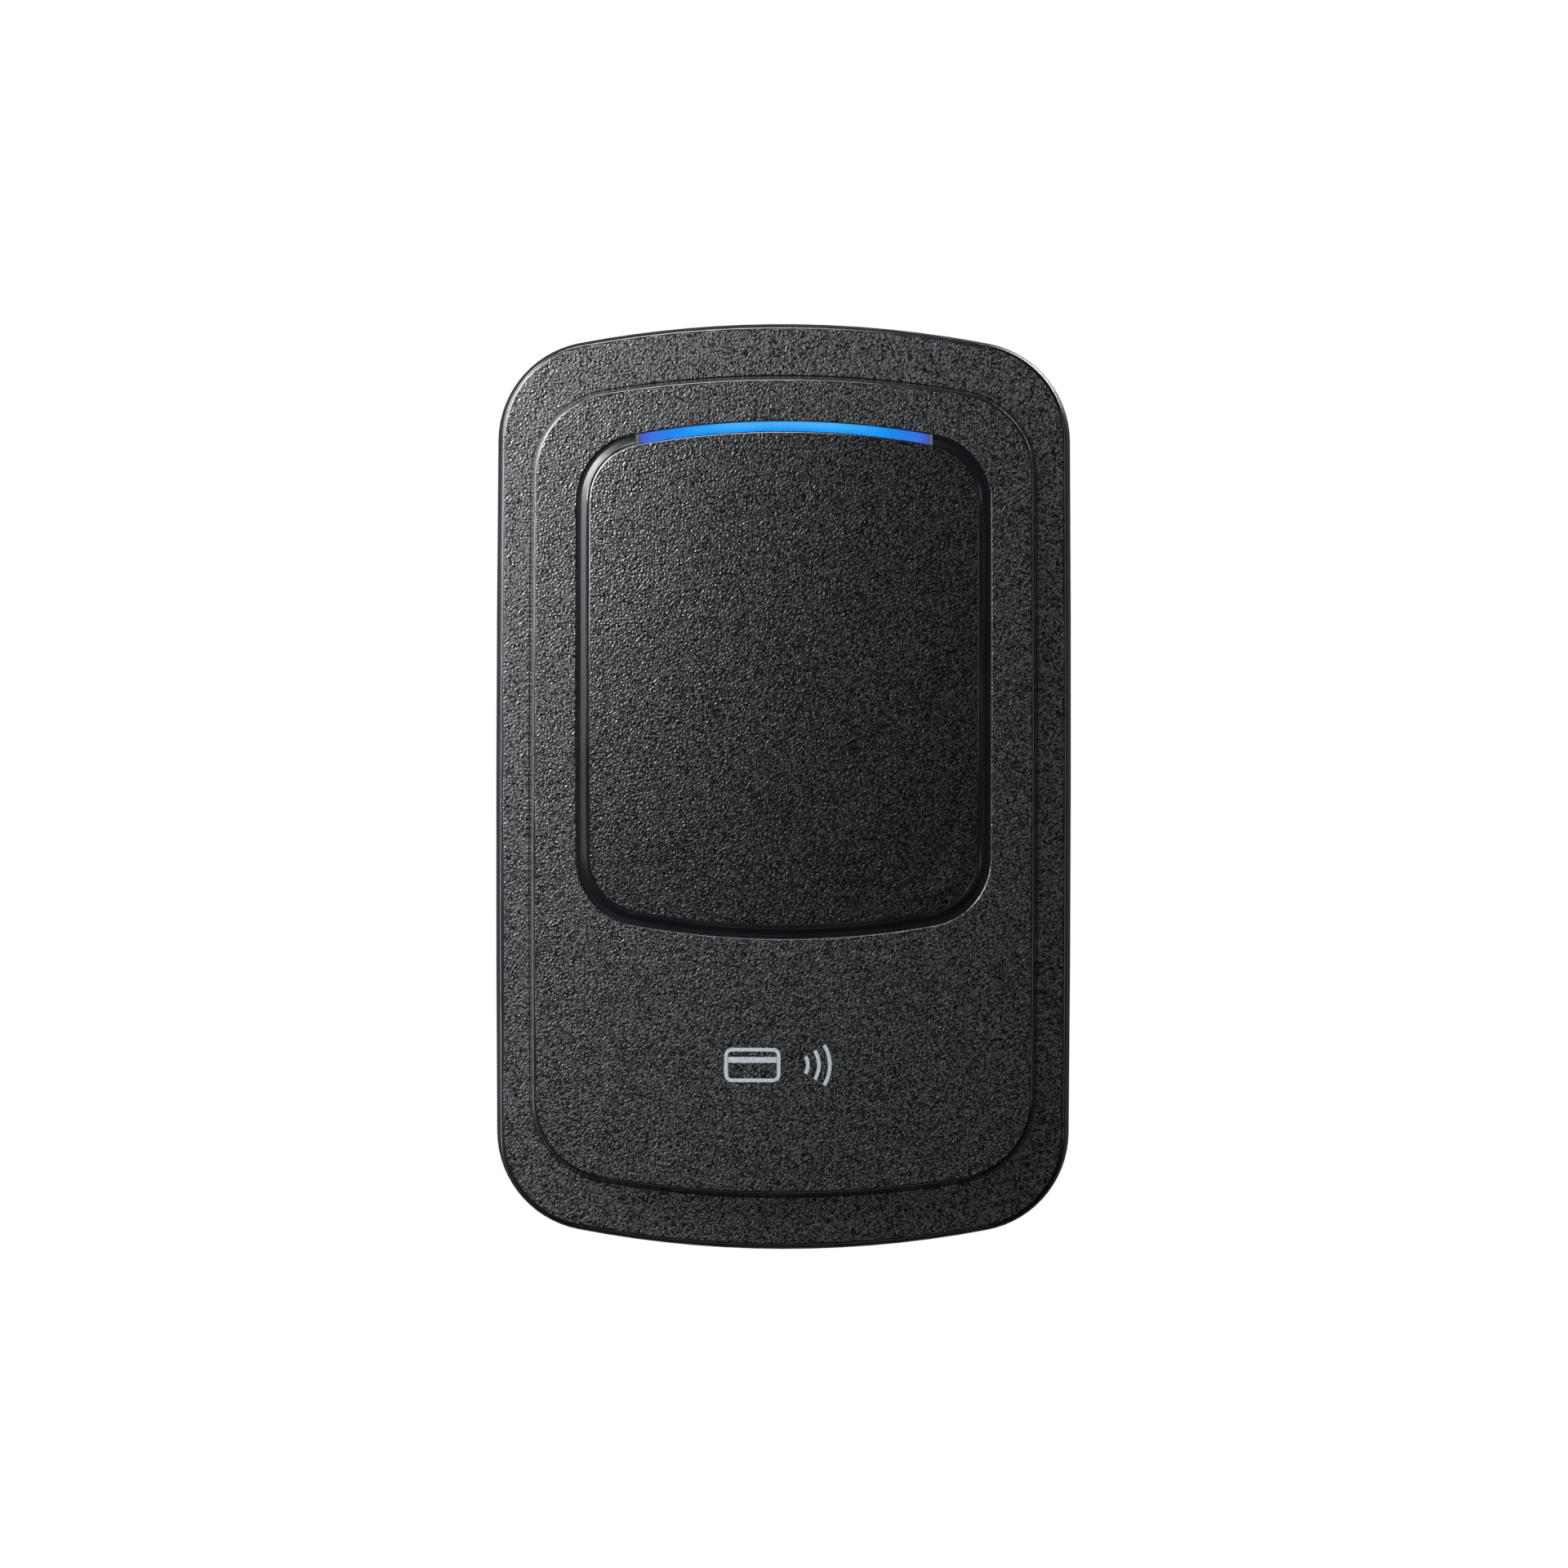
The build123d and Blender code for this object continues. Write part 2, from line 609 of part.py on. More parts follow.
def housing_ribs():
    """Stiffening ribs and screw collars on the rear of the housing."""
    edge = HOUSING.inset(0.9)
    below = COLLAR_REACH - 1
    above = HOUSING_REAR + 1
    ribs = ring(edge, edge.inset(RIB_WIDTH), RIB_REAR, HOUSING_REAR)
    ribs -= block(0, HOUSING.high, HOOK_GAP, TAB_GAP, below, above)
    ribs -= block(0, HOUSING.low, TAB_GAP, TAB_GAP, below, above)
    for z in (-CROSS_RIB_Z, CROSS_RIB_Z):
        ribs += block(0, z, 2 * edge.half_width - 1, RIB_WIDTH, RIB_REAR, HOUSING_REAR)
    for x in (-LONG_RIB_X, LONG_RIB_X):
        ribs += block(x, 0, RIB_WIDTH, LONG_RIB_LENGTH, RIB_REAR, HOUSING_REAR)
    for x, z in CASE_SITES:
        ribs += rod(x, z, HEAD_POCKET + COLLAR_WALL, COLLAR_REACH, HOUSING_REAR)
    for x, z in CASE_SITES + BEZEL_SITES:
        ribs -= rod(x, z, HEAD_POCKET, below, above)
    pocket = GROMMET_FLANGE + 3 * CLEARANCE
    ribs += rod(0, 0, pocket + COLLAR_WALL, COLLAR_REACH, HOUSING_REAR)
    ribs -= rod(0, 0, pocket, below, above)
    ribs += rod(TAMPER_X, TAMPER_Z, SPRING_SEAT + COLLAR_WALL, RIB_REAR, HOUSING_REAR)
    return ribs - rod(TAMPER_X, TAMPER_Z, SPRING_SEAT, below, above)


def rear_housing():
    """Plate that closes the case, carries the board and is screwed to the bezel."""
    below = HOUSING_REAR - 1
    above = BOARD_REAR + 1
    plate = prism(HOUSING, HOUSING_REAR, HOUSING_FRONT) + housing_ribs()
    top = HOUSING_FRONT + HOUSING_LIP_HEIGHT
    lip = ring(HOUSING_LIP, HOUSING_LIP.inset(HOUSING_LIP_WIDTH), HOUSING_FRONT, top)
    for x, z in CASE_SITES:
        lip -= rod(x, z, CASE_BOSS + 3 * CLEARANCE, below, above)
    plate += lip
    for x, z in BOARD_SITES:
        plate += rod(x, z, STANDOFF_RADIUS, HOUSING_FRONT, BOARD_REAR)
    for x, z in BOARD_SITES:
        plate -= rod(x, z, BOARD_PILOT, BOARD_REAR - BOARD_SHAFT_LENGTH - 1, above)
    for x, z in CASE_SITES + BEZEL_SITES:
        plate -= rod(x, z, SCREW_HOLE, below, above)
    plate -= rod(0, 0, GROMMET_NECK, below, above)
    return plate - rod(TAMPER_X, TAMPER_Z, TAMPER_RADIUS + CLEARANCE, below, above)


def case_seal():
    """Rubber ring squeezed between the rear housing and the body's skirt."""
    return ring(SEAL, SEAL.inset(SEAL_WIDTH), HOUSING_FRONT, SEAL_FRONT)


def cable_grommet():
    """Rubber bush that the cable enters through."""
    neck = rod(0, 0, GROMMET_NECK, HOUSING_REAR, HOUSING_FRONT)
    inner = rod(0, 0, GROMMET_FLANGE, HOUSING_FRONT, HOUSING_FRONT + GROMMET_THICKNESS)
    outer = rod(0, 0, GROMMET_FLANGE, HOUSING_REAR - GROMMET_THICKNESS, HOUSING_REAR)
    body = neck + inner + outer
    ends = [body.faces().sort_by(Axis.Y)[n] for n in (0, -1)]
    body = fillet([edge for end in ends for edge in end.edges()], GROMMET_EDGE)
    return body - rod(0, 0, GROMMET_BORE, HOUSING_REAR - 3, HOUSING_FRONT + 3)


def threaded_inserts():
    """Brass inserts in the body's case bosses."""
    start = HOUSING_FRONT + CLEARANCE
    end = HOUSING_FRONT + INSERT_LENGTH
    bore = CASE_SHAFT + RUNNING_FIT
    return group(tube(x, z, INSERT_RADIUS, bore, start, end) for x, z in CASE_SITES)


def case_screws():
    return group(
        rear_screw(site, CASE_SHAFT, length=6.4, head=2.3, head_height=1.5) for site in CASE_SITES
    )


def bezel_screws():
    return group(
        rear_screw(site, BEZEL_SHAFT, length=5.2, head=1.8, head_height=1.2) for site in BEZEL_SITES
    )


BOARD_SHAFT = 0.85
BOARD_SHAFT_LENGTH = 3.0
BOARD_HEAD = 1.7
BOARD_HEAD_HEIGHT = 1.0


def board_screws():
    """Screws driven from the front, whose heads lie on the main board."""
    top = BOARD_FRONT + BOARD_HEAD_HEIGHT
    slot = BOARD_FRONT + BOARD_HEAD_HEIGHT / 2
    screws = []
    for x, z in BOARD_SITES:
        head = rod(x, z, BOARD_HEAD, BOARD_FRONT, top)
        head -= block(x, z, 2.0, DRIVER_SLOT, slot, top + 1)
        head -= block(x, z, DRIVER_SLOT, 2.0, slot, top + 1)
        shaft = rod(x, z, BOARD_SHAFT, BOARD_REAR - BOARD_SHAFT_LENGTH, BOARD_FRONT)
        screws.append(head + shaft)
    return group(screws)


# ---- antenna board and lamps --------------------------------------------------------------------

ANTENNA_HALF_WIDTH = 26.0
ANTENNA_LOW = -17.0
ANTENNA_HIGH = 51.0
ANTENNA_CORNER = 4.0
COIL_MIDDLE = 15.0
HF_HALF_WIDTH = 22.0
HF_HALF_HEIGHT = 29.0
HF_TURNS = 4
HF_PITCH = 1.2
HF_TRACE = 0.7
HF_THICKNESS = 0.06
LF_WIDTH = 35.0
LF_HEIGHT = 47.0
LF_SECTION = 3.5
LF_CORNER = 8.0
LF_THICKNESS = 0.76
FERRITE_THICKNESS = 0.4
LAMP_XS = [-17.5 + 7.0 * n for n in range(6)]
LAMP_WIDTH = 2.2
LAMP_LENGTH = 1.2
LAMP_HEIGHT = 0.65
GASKET_Z = 47.9
GASKET_WIDTH = 46.0
GASKET_HEIGHT = 6.2
GASKET_WALL = 0.9
HEADER_Z = -13.0
HEADER_WIDTH = 11.0
HEADER_HEIGHT = 3.4
WAIST_DEPTH = 0.3
WAIST_HEIGHT = 0.2


def antenna_board():
    middle = (ANTENNA_LOW + ANTENNA_HIGH) / 2
    width = 2 * ANTENNA_HALF_WIDTH
    height = ANTENNA_HIGH - ANTENNA_LOW
    board = soft_block(0, middle, width, height, ANTENNA_REAR, ANTENNA_FRONT, ANTENNA_CORNER)
    for x, z in STAKE_SITES:
        board -= rod(x, z, STAKE_RADIUS + CLEARANCE, ANTENNA_REAR - 1, ANTENNA_FRONT + 1)
    return board


def hf_antenna_coil():
    """Printed 13.56 MHz loop: a rectangular spiral on the front of the antenna board."""
    start, end = ANTENNA_FRONT, ANTENNA_FRONT + HF_THICKNESS
    points = []
    for turn in range(HF_TURNS):
        x = HF_HALF_WIDTH - turn * HF_PITCH
        z = HF_HALF_HEIGHT - turn * HF_PITCH
        points += [(-x, -z), (x, -z), (x, z), (-x, z), (-x, -z + HF_PITCH)]
    pieces = []
    for (x0, z0), (x1, z1) in zip(points, points[1:]):
        width = abs(x1 - x0) + HF_TRACE
        height = abs(z1 - z0) + HF_TRACE
        middle_z = COIL_MIDDLE + (z0 + z1) / 2
        pieces.append(block((x0 + x1) / 2, middle_z, width, height, start, end))
    return join(pieces)


def lf_antenna_coil():
    """Flat bonded winding for the 125 kHz cards."""
    inner_width = LF_WIDTH - 2 * LF_SECTION
    inner_height = LF_HEIGHT - 2 * LF_SECTION
    outer = RectangleRounded(LF_WIDTH, LF_HEIGHT, LF_CORNER)
    inner = RectangleRounded(inner_width, inner_height, LF_CORNER - LF_SECTION + 0.5)
    face = at_depth(ANTENNA_FRONT + JOINT) * Pos(0, COIL_MIDDLE) * (outer - inner)
    return extrude(face, amount=LF_THICKNESS)


def ferrite_sheet():
    return soft_block(0, 18.0, 43.0, 54.0, ANTENNA_REAR - FERRITE_THICKNESS, ANTENNA_REAR, 2.0)


def lamp_height(x):
    """Middle of the light bar at this distance from the centre line."""
    return (GROOVE_HIGH + PAD_HIGH) / 2 - (GROOVE.bow_drop(x) + PAD.bow_drop(x)) / 2


def status_leds():
    end = ANTENNA_FRONT + LAMP_HEIGHT
    return group(
        block(x, lamp_height(x), LAMP_WIDTH, LAMP_LENGTH, ANTENNA_FRONT, end) for x in LAMP_XS
    )


def light_gasket():
    """Foam frame that keeps the lamps' light from spreading behind the body."""
    width = GASKET_WIDTH - 2 * GASKET_WALL
    height = GASKET_HEIGHT - 2 * GASKET_WALL
    below = ANTENNA_FRONT - 1
    above = DECK_UNDERSIDE + 1
    frame = soft_block(0, GASKET_Z, GASKET_WIDTH, GASKET_HEIGHT, ANTENNA_FRONT, DECK_UNDERSIDE, 1.0)
    return frame - soft_block(0, GASKET_Z, width, height, below, above, 0.6)


def antenna_header():
    """Stacking connector between the two boards, with a waist where its halves meet."""
    body = block(0, HEADER_Z, HEADER_WIDTH, HEADER_HEIGHT, BOARD_FRONT, ANTENNA_REAR)
    start = (BOARD_FRONT + ANTENNA_REAR - WAIST_HEIGHT) / 2
    end = start + WAIST_HEIGHT
    inner_width = HEADER_WIDTH - 2 * WAIST_DEPTH
    inner_height = HEADER_HEIGHT - 2 * WAIST_DEPTH
    waist = block(0, HEADER_Z, HEADER_WIDTH + 1, HEADER_HEIGHT + 1, start, end)
    return body - (waist - block(0, HEADER_Z, inner_width, inner_height, start, end))


# ---- main board ---------------------------------------------------------------------------------

MAIN_BOARD = BODY.inset(COVER_WALL + 1.0)
CHIP_BEVEL = 0.12
LEG_LIFT = 0.1
LEG_HEIGHT = 0.25
LEG_WIDTH = 0.3
LEG_LENGTH = 0.9
LEG_REACH = 0.35  # from the chip's side to the middle of a leg


def main_board():
    board = prism(MAIN_BOARD, BOARD_REAR, BOARD_FRONT)
    for x, z in CASE_SITES:
        board -= rod(x, z, CASE_BOSS + 4 * CLEARANCE, BOARD_REAR - 1, BOARD_FRONT + 1)
    for x, z in BOARD_SITES:
        board -= rod(x, z, BOARD_SHAFT + CLEARANCE, BOARD_REAR - 1, BOARD_FRONT + 1)
    return board


def chip(x, z, width, height, thickness, legs=0, leg_sides="x"):
    """Moulded chip on the front of the main board, with legs along two or four sides."""
    foot = LEG_LIFT if legs else 0.0
    body = block(x, z, width, height, BOARD_FRONT + foot, BOARD_FRONT + thickness)
    pieces = [chamfer(body.faces().sort_by(Axis.Y)[0].edges(), CHIP_BEVEL)]
    leg_top = BOARD_FRONT + LEG_HEIGHT
    for n in range(legs):
        along = (n - (legs - 1) / 2) / legs
        for side in (-1, 1):
            if "x" in leg_sides:
                leg_x = x + side * (width / 2 + LEG_REACH)
                leg_z = z + along * height
                pieces.append(block(leg_x, leg_z, LEG_LENGTH, LEG_WIDTH, BOARD_FRONT, leg_top))
            if "z" in leg_sides:
                leg_x = x + along * width
                leg_z = z + side * (height / 2 + LEG_REACH)
                pieces.append(block(leg_x, leg_z, LEG_WIDTH, LEG_LENGTH, BOARD_FRONT, leg_top))
    return join(pieces)


def processor_chip():
    return chip(-10.0, -30.0, 12.0, 12.0, 1.5, legs=14, leg_sides="xz")


def reader_chips():
    """Two card front-end chips, one for each antenna."""
    return group([chip(-9.0, -6.0, 7.0, 7.0, 0.95), chip(9.0, -6.0, 5.0, 5.0, 0.95)])


def interface_chips():
    """Serial line driver, clock, memory and supply regulator."""
    sites = [(-22.0, -20.0), (-22.0, 0.0), (-22.0, 18.0), (20.0, 22.0)]
    return group(chip(x, z, 3.9, 5.0, 1.6, legs=4) for x, z in sites)


RADIO_X = 12.5
RADIO_Z = -35.0
RADIO_BOARD_FRONT = BOARD_FRONT + 0.8


def radio_board():
    """Small board with its aerial at the lower edge, clear of the shield."""
    return soft_block(RADIO_X, RADIO_Z, 13.0, 18.0, BOARD_FRONT, RADIO_BOARD_FRONT, 0.5)


def radio_shield():
    """Pressed can over the radio chips."""
    start, end = RADIO_BOARD_FRONT, RADIO_BOARD_FRONT + 1.8
    size, sheet = 11.4, 0.2
    middle = RADIO_Z + 2.5
    can = soft_block(RADIO_X, middle, size, size, start, end, 0.8)
    can = fillet(can.faces().sort_by(Axis.Y)[0].edges(), 0.35)
    hollow = size - 2 * sheet
    return can - soft_block(RADIO_X, middle, hollow, hollow, start - 1, end - sheet, 0.6)


def crystals():
    sites = [(-19.5, -34.0), (1.5, -6.0)]
    cans = [soft_block(x, z, 3.2, 2.5, BOARD_FRONT, BOARD_FRONT + 0.8, 0.4) for x, z in sites]
    return group(cans)


def power_inductor():
    body = soft_block(0, 33.0, 7.0, 7.0, BOARD_FRONT, BOARD_FRONT + 2.2, 1.2)
    return body - tube(0, 33.0, 2.9, 2.4, BOARD_FRONT + 2.0, BOARD_FRONT + 3)


def bulk_capacitors():
    """Radial cans lying on the rear of the board, between it and the housing."""
    cans = []
    for x in (-14.0, -8.5):
        can = Pos(x, -(BOARD_REAR - 1.75), 22.0) * Cylinder(1.7, 9.0)
        cans.append(fillet(can.edges().filter_by(GeomType.CIRCLE), 0.3))
    return group(cans)


def chip_parts(sites, width, height, thickness):
    return group(
        block(x, z, width, height, BOARD_FRONT, BOARD_FRONT + thickness) for x, z in sites
    )


def ceramic_capacitors():
    """Rows of small capacitors round the processor, the front ends and the supply."""
    sites = [(-18.0 + 2.6 * n, -40.5) for n in range(7)]
    sites += [(-15.0 + 2.6 * n, 1.0) for n in range(5)]
    sites += [(5.0 + 2.6 * n, 1.0) for n in range(4)]
    sites += [(-8.0 + 2.6 * n, 26.5) for n in range(7)]
    return chip_parts(sites, 1.0, 1.6, 0.8)


def chip_resistors():
    sites = [(-18.0 + 2.2 * n, -19.5) for n in range(8)]
    sites += [(12.0 + 2.2 * n, -18.0) for n in range(6)]
    sites += [(-15.0 + 2.2 * n, 8.0) for n in range(9)]
    return chip_parts(sites, 0.8, 1.6, 0.45)


def surge_diodes():
    """Protection for the supply and the signal lines, beside the cable connector."""
    sites = [(-15.0, 14.0), (-9.0, 14.0), (9.0, 14.0), (15.0, 14.0)]
    return chip_parts(sites, 4.2, 2.6, 2.0)


BUZZER_X = -20.0
BUZZER_Z = -22.0


def buzzer():
    """Sounder on the rear of the board, with its sound hole towards the housing."""
    rear = BOARD_REAR - 3.4
    body = rod(BUZZER_X, BUZZER_Z, 5.5, rear, BOARD_REAR)
    return body - rod(BUZZER_X, BUZZER_Z, 1.0, rear - 1, rear + 0.8)


CABLE_HEADER_Z = -13.5
CABLE_HEADER_REAR = BOARD_REAR - 3.4
PIN_PITCH = 2.0
PIN_WIDTH = 0.5
SHROUD_WALL = 0.7


def cable_header():
    """Two-row socket on the rear of the board, which the cable's plug pushes into."""
    width, height = 20.0, 6.0
    floor = BOARD_REAR - 0.8
    rear = CABLE_HEADER_REAR
    inner_width = width - 2 * SHROUD_WALL
    inner_height = height - 2 * SHROUD_WALL
    shroud = block(0, CABLE_HEADER_Z, width, height, rear, BOARD_REAR)
    pocket = block(0, CABLE_HEADER_Z, inner_width, inner_height, rear - 1, floor)
    pins = [
        block(
            (n - 3.5) * PIN_PITCH,
            CABLE_HEADER_Z + side * PIN_PITCH / 2,
            PIN_WIDTH,
            PIN_WIDTH,
            rear + 0.4,
            floor + 0.2,
        )
        for n in range(8)
        for side in (-1, 1)
    ]
    return join([shroud - pocket, *pins])


SWITCH_WIDTH = 5.2
SWITCH_HEIGHT = 1.0
BUTTON_RADIUS = 1.2
BUTTON_HEIGHT = 0.3


def tamper_switch():
    """Tact switch that the plunger holds down while the reader is on the wall."""
    rear = BOARD_REAR - SWITCH_HEIGHT
    body = block(TAMPER_X, TAMPER_Z, SWITCH_WIDTH, SWITCH_WIDTH, rear, BOARD_REAR)
    return body + rod(TAMPER_X, TAMPER_Z, BUTTON_RADIUS, rear - BUTTON_HEIGHT, rear + MERGE)


# ---- output -------------------------------------------------------------------------------------

NODES = [
    wall_bracket,
    lock_nut,
    lock_screw,
    screw_retainer,
    tamper_plunger,
    tamper_clip,
    tamper_spring,
    outer_bezel,
    front_cover,
    groove_trim,
    light_guide,
    reading_pad,
    pad_adhesive,
    rear_housing,
    case_seal,
    cable_grommet,
    threaded_inserts,
    case_screws,
    bezel_screws,
    board_screws,
    antenna_board,
    hf_antenna_coil,
    lf_antenna_coil,
    ferrite_sheet,
    status_leds,
    light_gasket,
    antenna_header,
    main_board,
    processor_chip,
    reader_chips,
    interface_chips,
    radio_board,
    radio_shield,
    crystals,
    power_inductor,
    bulk_capacitors,
    ceramic_capacitors,
    chip_resistors,
    surge_diodes,
    buzzer,
    cable_header,
    tamper_switch,
]

for make in NODES:
    export_step(make(), f"parts/{make.__name__}.step")
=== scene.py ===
import math

import bmesh
import bpy
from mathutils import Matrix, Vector
from mathutils.bvhtree import BVHTree


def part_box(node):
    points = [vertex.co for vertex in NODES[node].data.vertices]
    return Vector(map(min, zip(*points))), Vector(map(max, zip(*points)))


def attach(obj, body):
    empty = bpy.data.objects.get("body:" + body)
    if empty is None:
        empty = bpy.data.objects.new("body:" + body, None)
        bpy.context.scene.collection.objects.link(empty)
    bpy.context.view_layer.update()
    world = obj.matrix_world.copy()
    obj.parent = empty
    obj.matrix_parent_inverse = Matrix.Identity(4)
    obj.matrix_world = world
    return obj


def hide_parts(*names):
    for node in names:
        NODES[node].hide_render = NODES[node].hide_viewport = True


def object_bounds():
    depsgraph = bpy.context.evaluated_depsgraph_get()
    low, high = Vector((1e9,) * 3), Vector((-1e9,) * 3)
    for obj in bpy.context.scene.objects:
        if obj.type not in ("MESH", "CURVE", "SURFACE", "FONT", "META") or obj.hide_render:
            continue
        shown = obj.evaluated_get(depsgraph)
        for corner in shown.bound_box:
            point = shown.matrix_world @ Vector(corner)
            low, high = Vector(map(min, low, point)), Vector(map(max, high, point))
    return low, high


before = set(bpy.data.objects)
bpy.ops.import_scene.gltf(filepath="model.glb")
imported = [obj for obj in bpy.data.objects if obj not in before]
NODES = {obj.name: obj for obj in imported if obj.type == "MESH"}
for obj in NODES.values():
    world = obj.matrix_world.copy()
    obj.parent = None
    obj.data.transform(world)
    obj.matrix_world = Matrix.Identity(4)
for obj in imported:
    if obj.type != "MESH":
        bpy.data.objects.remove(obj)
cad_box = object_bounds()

# Looks of the wall-mounted card reader. Everything is in metres, in the part's own frame:
# +Z is up, and the reader faces -Y.

MM = 0.001
LOW, HIGH = cad_box
CENTRE = (LOW + HIGH) / 2
WIDTH = HIGH.x - LOW.x


# ---- shader building ----------------------------------------------------------------------------


class Shader:
    """A new material and short ways to add nodes to it."""

    def __init__(self, name):
        self.material = bpy.data.materials.new(name)
        self.material.use_nodes = True
        self.tree = self.material.node_tree
        self.surface = self.tree.nodes["Principled BSDF"]
        self.place = self.add("ShaderNodeTexCoord").outputs["Object"]

    def add(self, kind, **values):
        """Adds a node and sets these of its properties."""
        node = self.tree.nodes.new(kind)
        for name, value in values.items():
            setattr(node, name, value)
        return node

    def link(self, source, target):
        """Joins an output to an input."""
        self.tree.links.new(source, target)

    def set(self, **values):
        """Values of the surface's own sockets, by name with underscores for spaces."""
        for name, value in values.items():
            self.surface.inputs[name.replace("_", " ")].default_value = value

    def noise(self, size, detail=2.0, roughness=0.5, stretch=(1, 1, 1)):
        """Noise whose features are about this size."""
        node = self.add("ShaderNodeTexNoise")
        node.inputs["Scale"].default_value = 1 / size
        node.inputs["Detail"].default_value = detail
        node.inputs["Roughness"].default_value = roughness
        source = self.place
        if stretch != (1, 1, 1):
            mapping = self.add("ShaderNodeMapping")
            mapping.inputs["Scale"].default_value = stretch
            self.link(self.place, mapping.inputs["Vector"])
            source = mapping.outputs["Vector"]
        self.link(source, node.inputs["Vector"])
        return node.outputs["Fac"]

    def scattered(self, size, output):
        """One output of a pattern of cells about this far apart."""
        node = self.add("ShaderNodeTexVoronoi")
        node.inputs["Scale"].default_value = 1 / size
        self.link(self.place, node.inputs["Vector"])
        return node.outputs[output]

    def cells(self, size):
        """Distance to the middle of the nearest cell."""
        return self.scattered(size, "Distance")

    def pebbles(self, size):
        """A random value for each cell."""
        parts = self.add("ShaderNodeSeparateColor")
        self.link(self.scattered(size, "Color"), parts.inputs["Color"])
        return parts.outputs["Red"]

    def band(self, source, low, high, to_low=0.0, to_high=1.0):
        """Maps a range of one value onto another."""
        node = self.add("ShaderNodeMapRange")
        node.inputs["From Min"].default_value = low
        node.inputs["From Max"].default_value = high
        node.inputs["To Min"].default_value = to_low
        node.inputs["To Max"].default_value = to_high
        self.link(source, node.inputs["Value"])
        return node.outputs["Result"]

    def ramp(self, source, stops):
        """Colour that runs through the stops, each a position and a colour."""
        node = self.add("ShaderNodeValToRGB")
        points = node.color_ramp.elements
        while len(points) < len(stops):
            points.new(0.5)
        for point, (position, colour) in zip(points, stops):
            point.position = position
            point.color = (*colour, 1)
        self.link(source, node.inputs["Fac"])
        return node.outputs["Color"]

    def bump(self, height, distance, under=None):
        """Surface relief, laid over another if one is given."""
        node = self.add("ShaderNodeBump")
        node.inputs["Distance"].default_value = distance
        node.inputs["Strength"].default_value = 1.0
        self.link(height, node.inputs["Height"])
        if under is not None:
            self.link(under, node.inputs["Normal"])
        return node.outputs["Normal"]

    def axis(self, name):
        """One coordinate of the part's frame."""
        node = self.add("ShaderNodeSeparateXYZ")
        self.link(self.place, node.inputs["Vector"])
        return node.outputs[name]

    def maths(self, operation, *sources):
        """Arithmetic on values or sockets."""
        node = self.add("ShaderNodeMath", operation=operation)
        for socket, source in zip(node.inputs, sources):
            if isinstance(source, (int, float)):
                socket.default_value = source
            else:
                self.link(source, socket)
        return node.outputs["Value"]

    def finish(self, colour, roughness, normal=None):
        """Joins these to the surface, and gives the finished material."""
        self.link(colour, self.surface.inputs["Base Color"])
        self.link(roughness, self.surface.inputs["Roughness"])
        if normal is not None:
            self.link(normal, self.surface.inputs["Normal"])
        return self.material


# ---- materials ----------------------------------------------------------------------------------


GRAIN_DEPTH = 0.088 * MM
GRAIN_DARK = (0.0015, 0.0017, 0.0021)
GRAIN_TINT = (0.94, 1.0, 1.12)


def grained_plastic(name, grain, gloss, level, light):
    """Spark-eroded moulded plastic: fine pebbles, each a little lighter or duller than the next."""
    shader = Shader(name)
    pebbles = shader.pebbles(grain)
    swell = shader.noise(1.3 * grain, detail=0.0)
    colour = shader.ramp(pebbles, [(0.1, GRAIN_DARK), (0.95, tuple(light * c for c in GRAIN_TINT))])
    rough = shader.band(pebbles, 0.1, 0.9, *gloss)
    shader.set(Specular_IOR_Level=level)
    relief = shader.bump(swell, GRAIN_DEPTH)
    return shader.finish(colour, rough, relief)


def satin_plastic(name, colour, rough):
    """Moulded wall with no grain, only a faint flow in its gloss."""
    shader = Shader(name)
    flow = shader.noise(9 * MM, detail=3.0)
    speck = shader.noise(0.5 * MM, detail=2.0)
    tint = shader.ramp(flow, [(0.3, colour), (0.7, tuple(1.25 * c for c in colour))])
    gloss = shader.band(flow, 0.3, 0.7, rough - 0.04, rough + 0.05)
    return shader.finish(tint, gloss, shader.bump(speck, 0.004 * MM))


def polished_plastic(name, colour, rough, level=0.5):
    """Mirror-like moulding with a very slight orange peel."""
    shader = Shader(name)
    peel = shader.noise(1.6 * MM, detail=1.0)
    smear = shader.noise(6 * MM, detail=4.0)
    gloss = shader.band(smear, 0.35, 0.7, rough, rough + 0.05)
    tint = shader.ramp(smear, [(0.2, colour), (0.8, tuple(1.4 * c for c in colour))])
    shader.set(Coat_Weight=0.12, Coat_Roughness=0.12, Specular_IOR_Level=level)
    return shader.finish(tint, gloss, shader.bump(peel, 0.003 * MM))


# The bar's bow, between those of the groove and the pad. Its pale upper edge starts and is full at
# these distances below its top.
BAR_BOW = 113 * MM
EDGE_START = 1.1 * MM
EDGE_FULL = 0.5 * MM


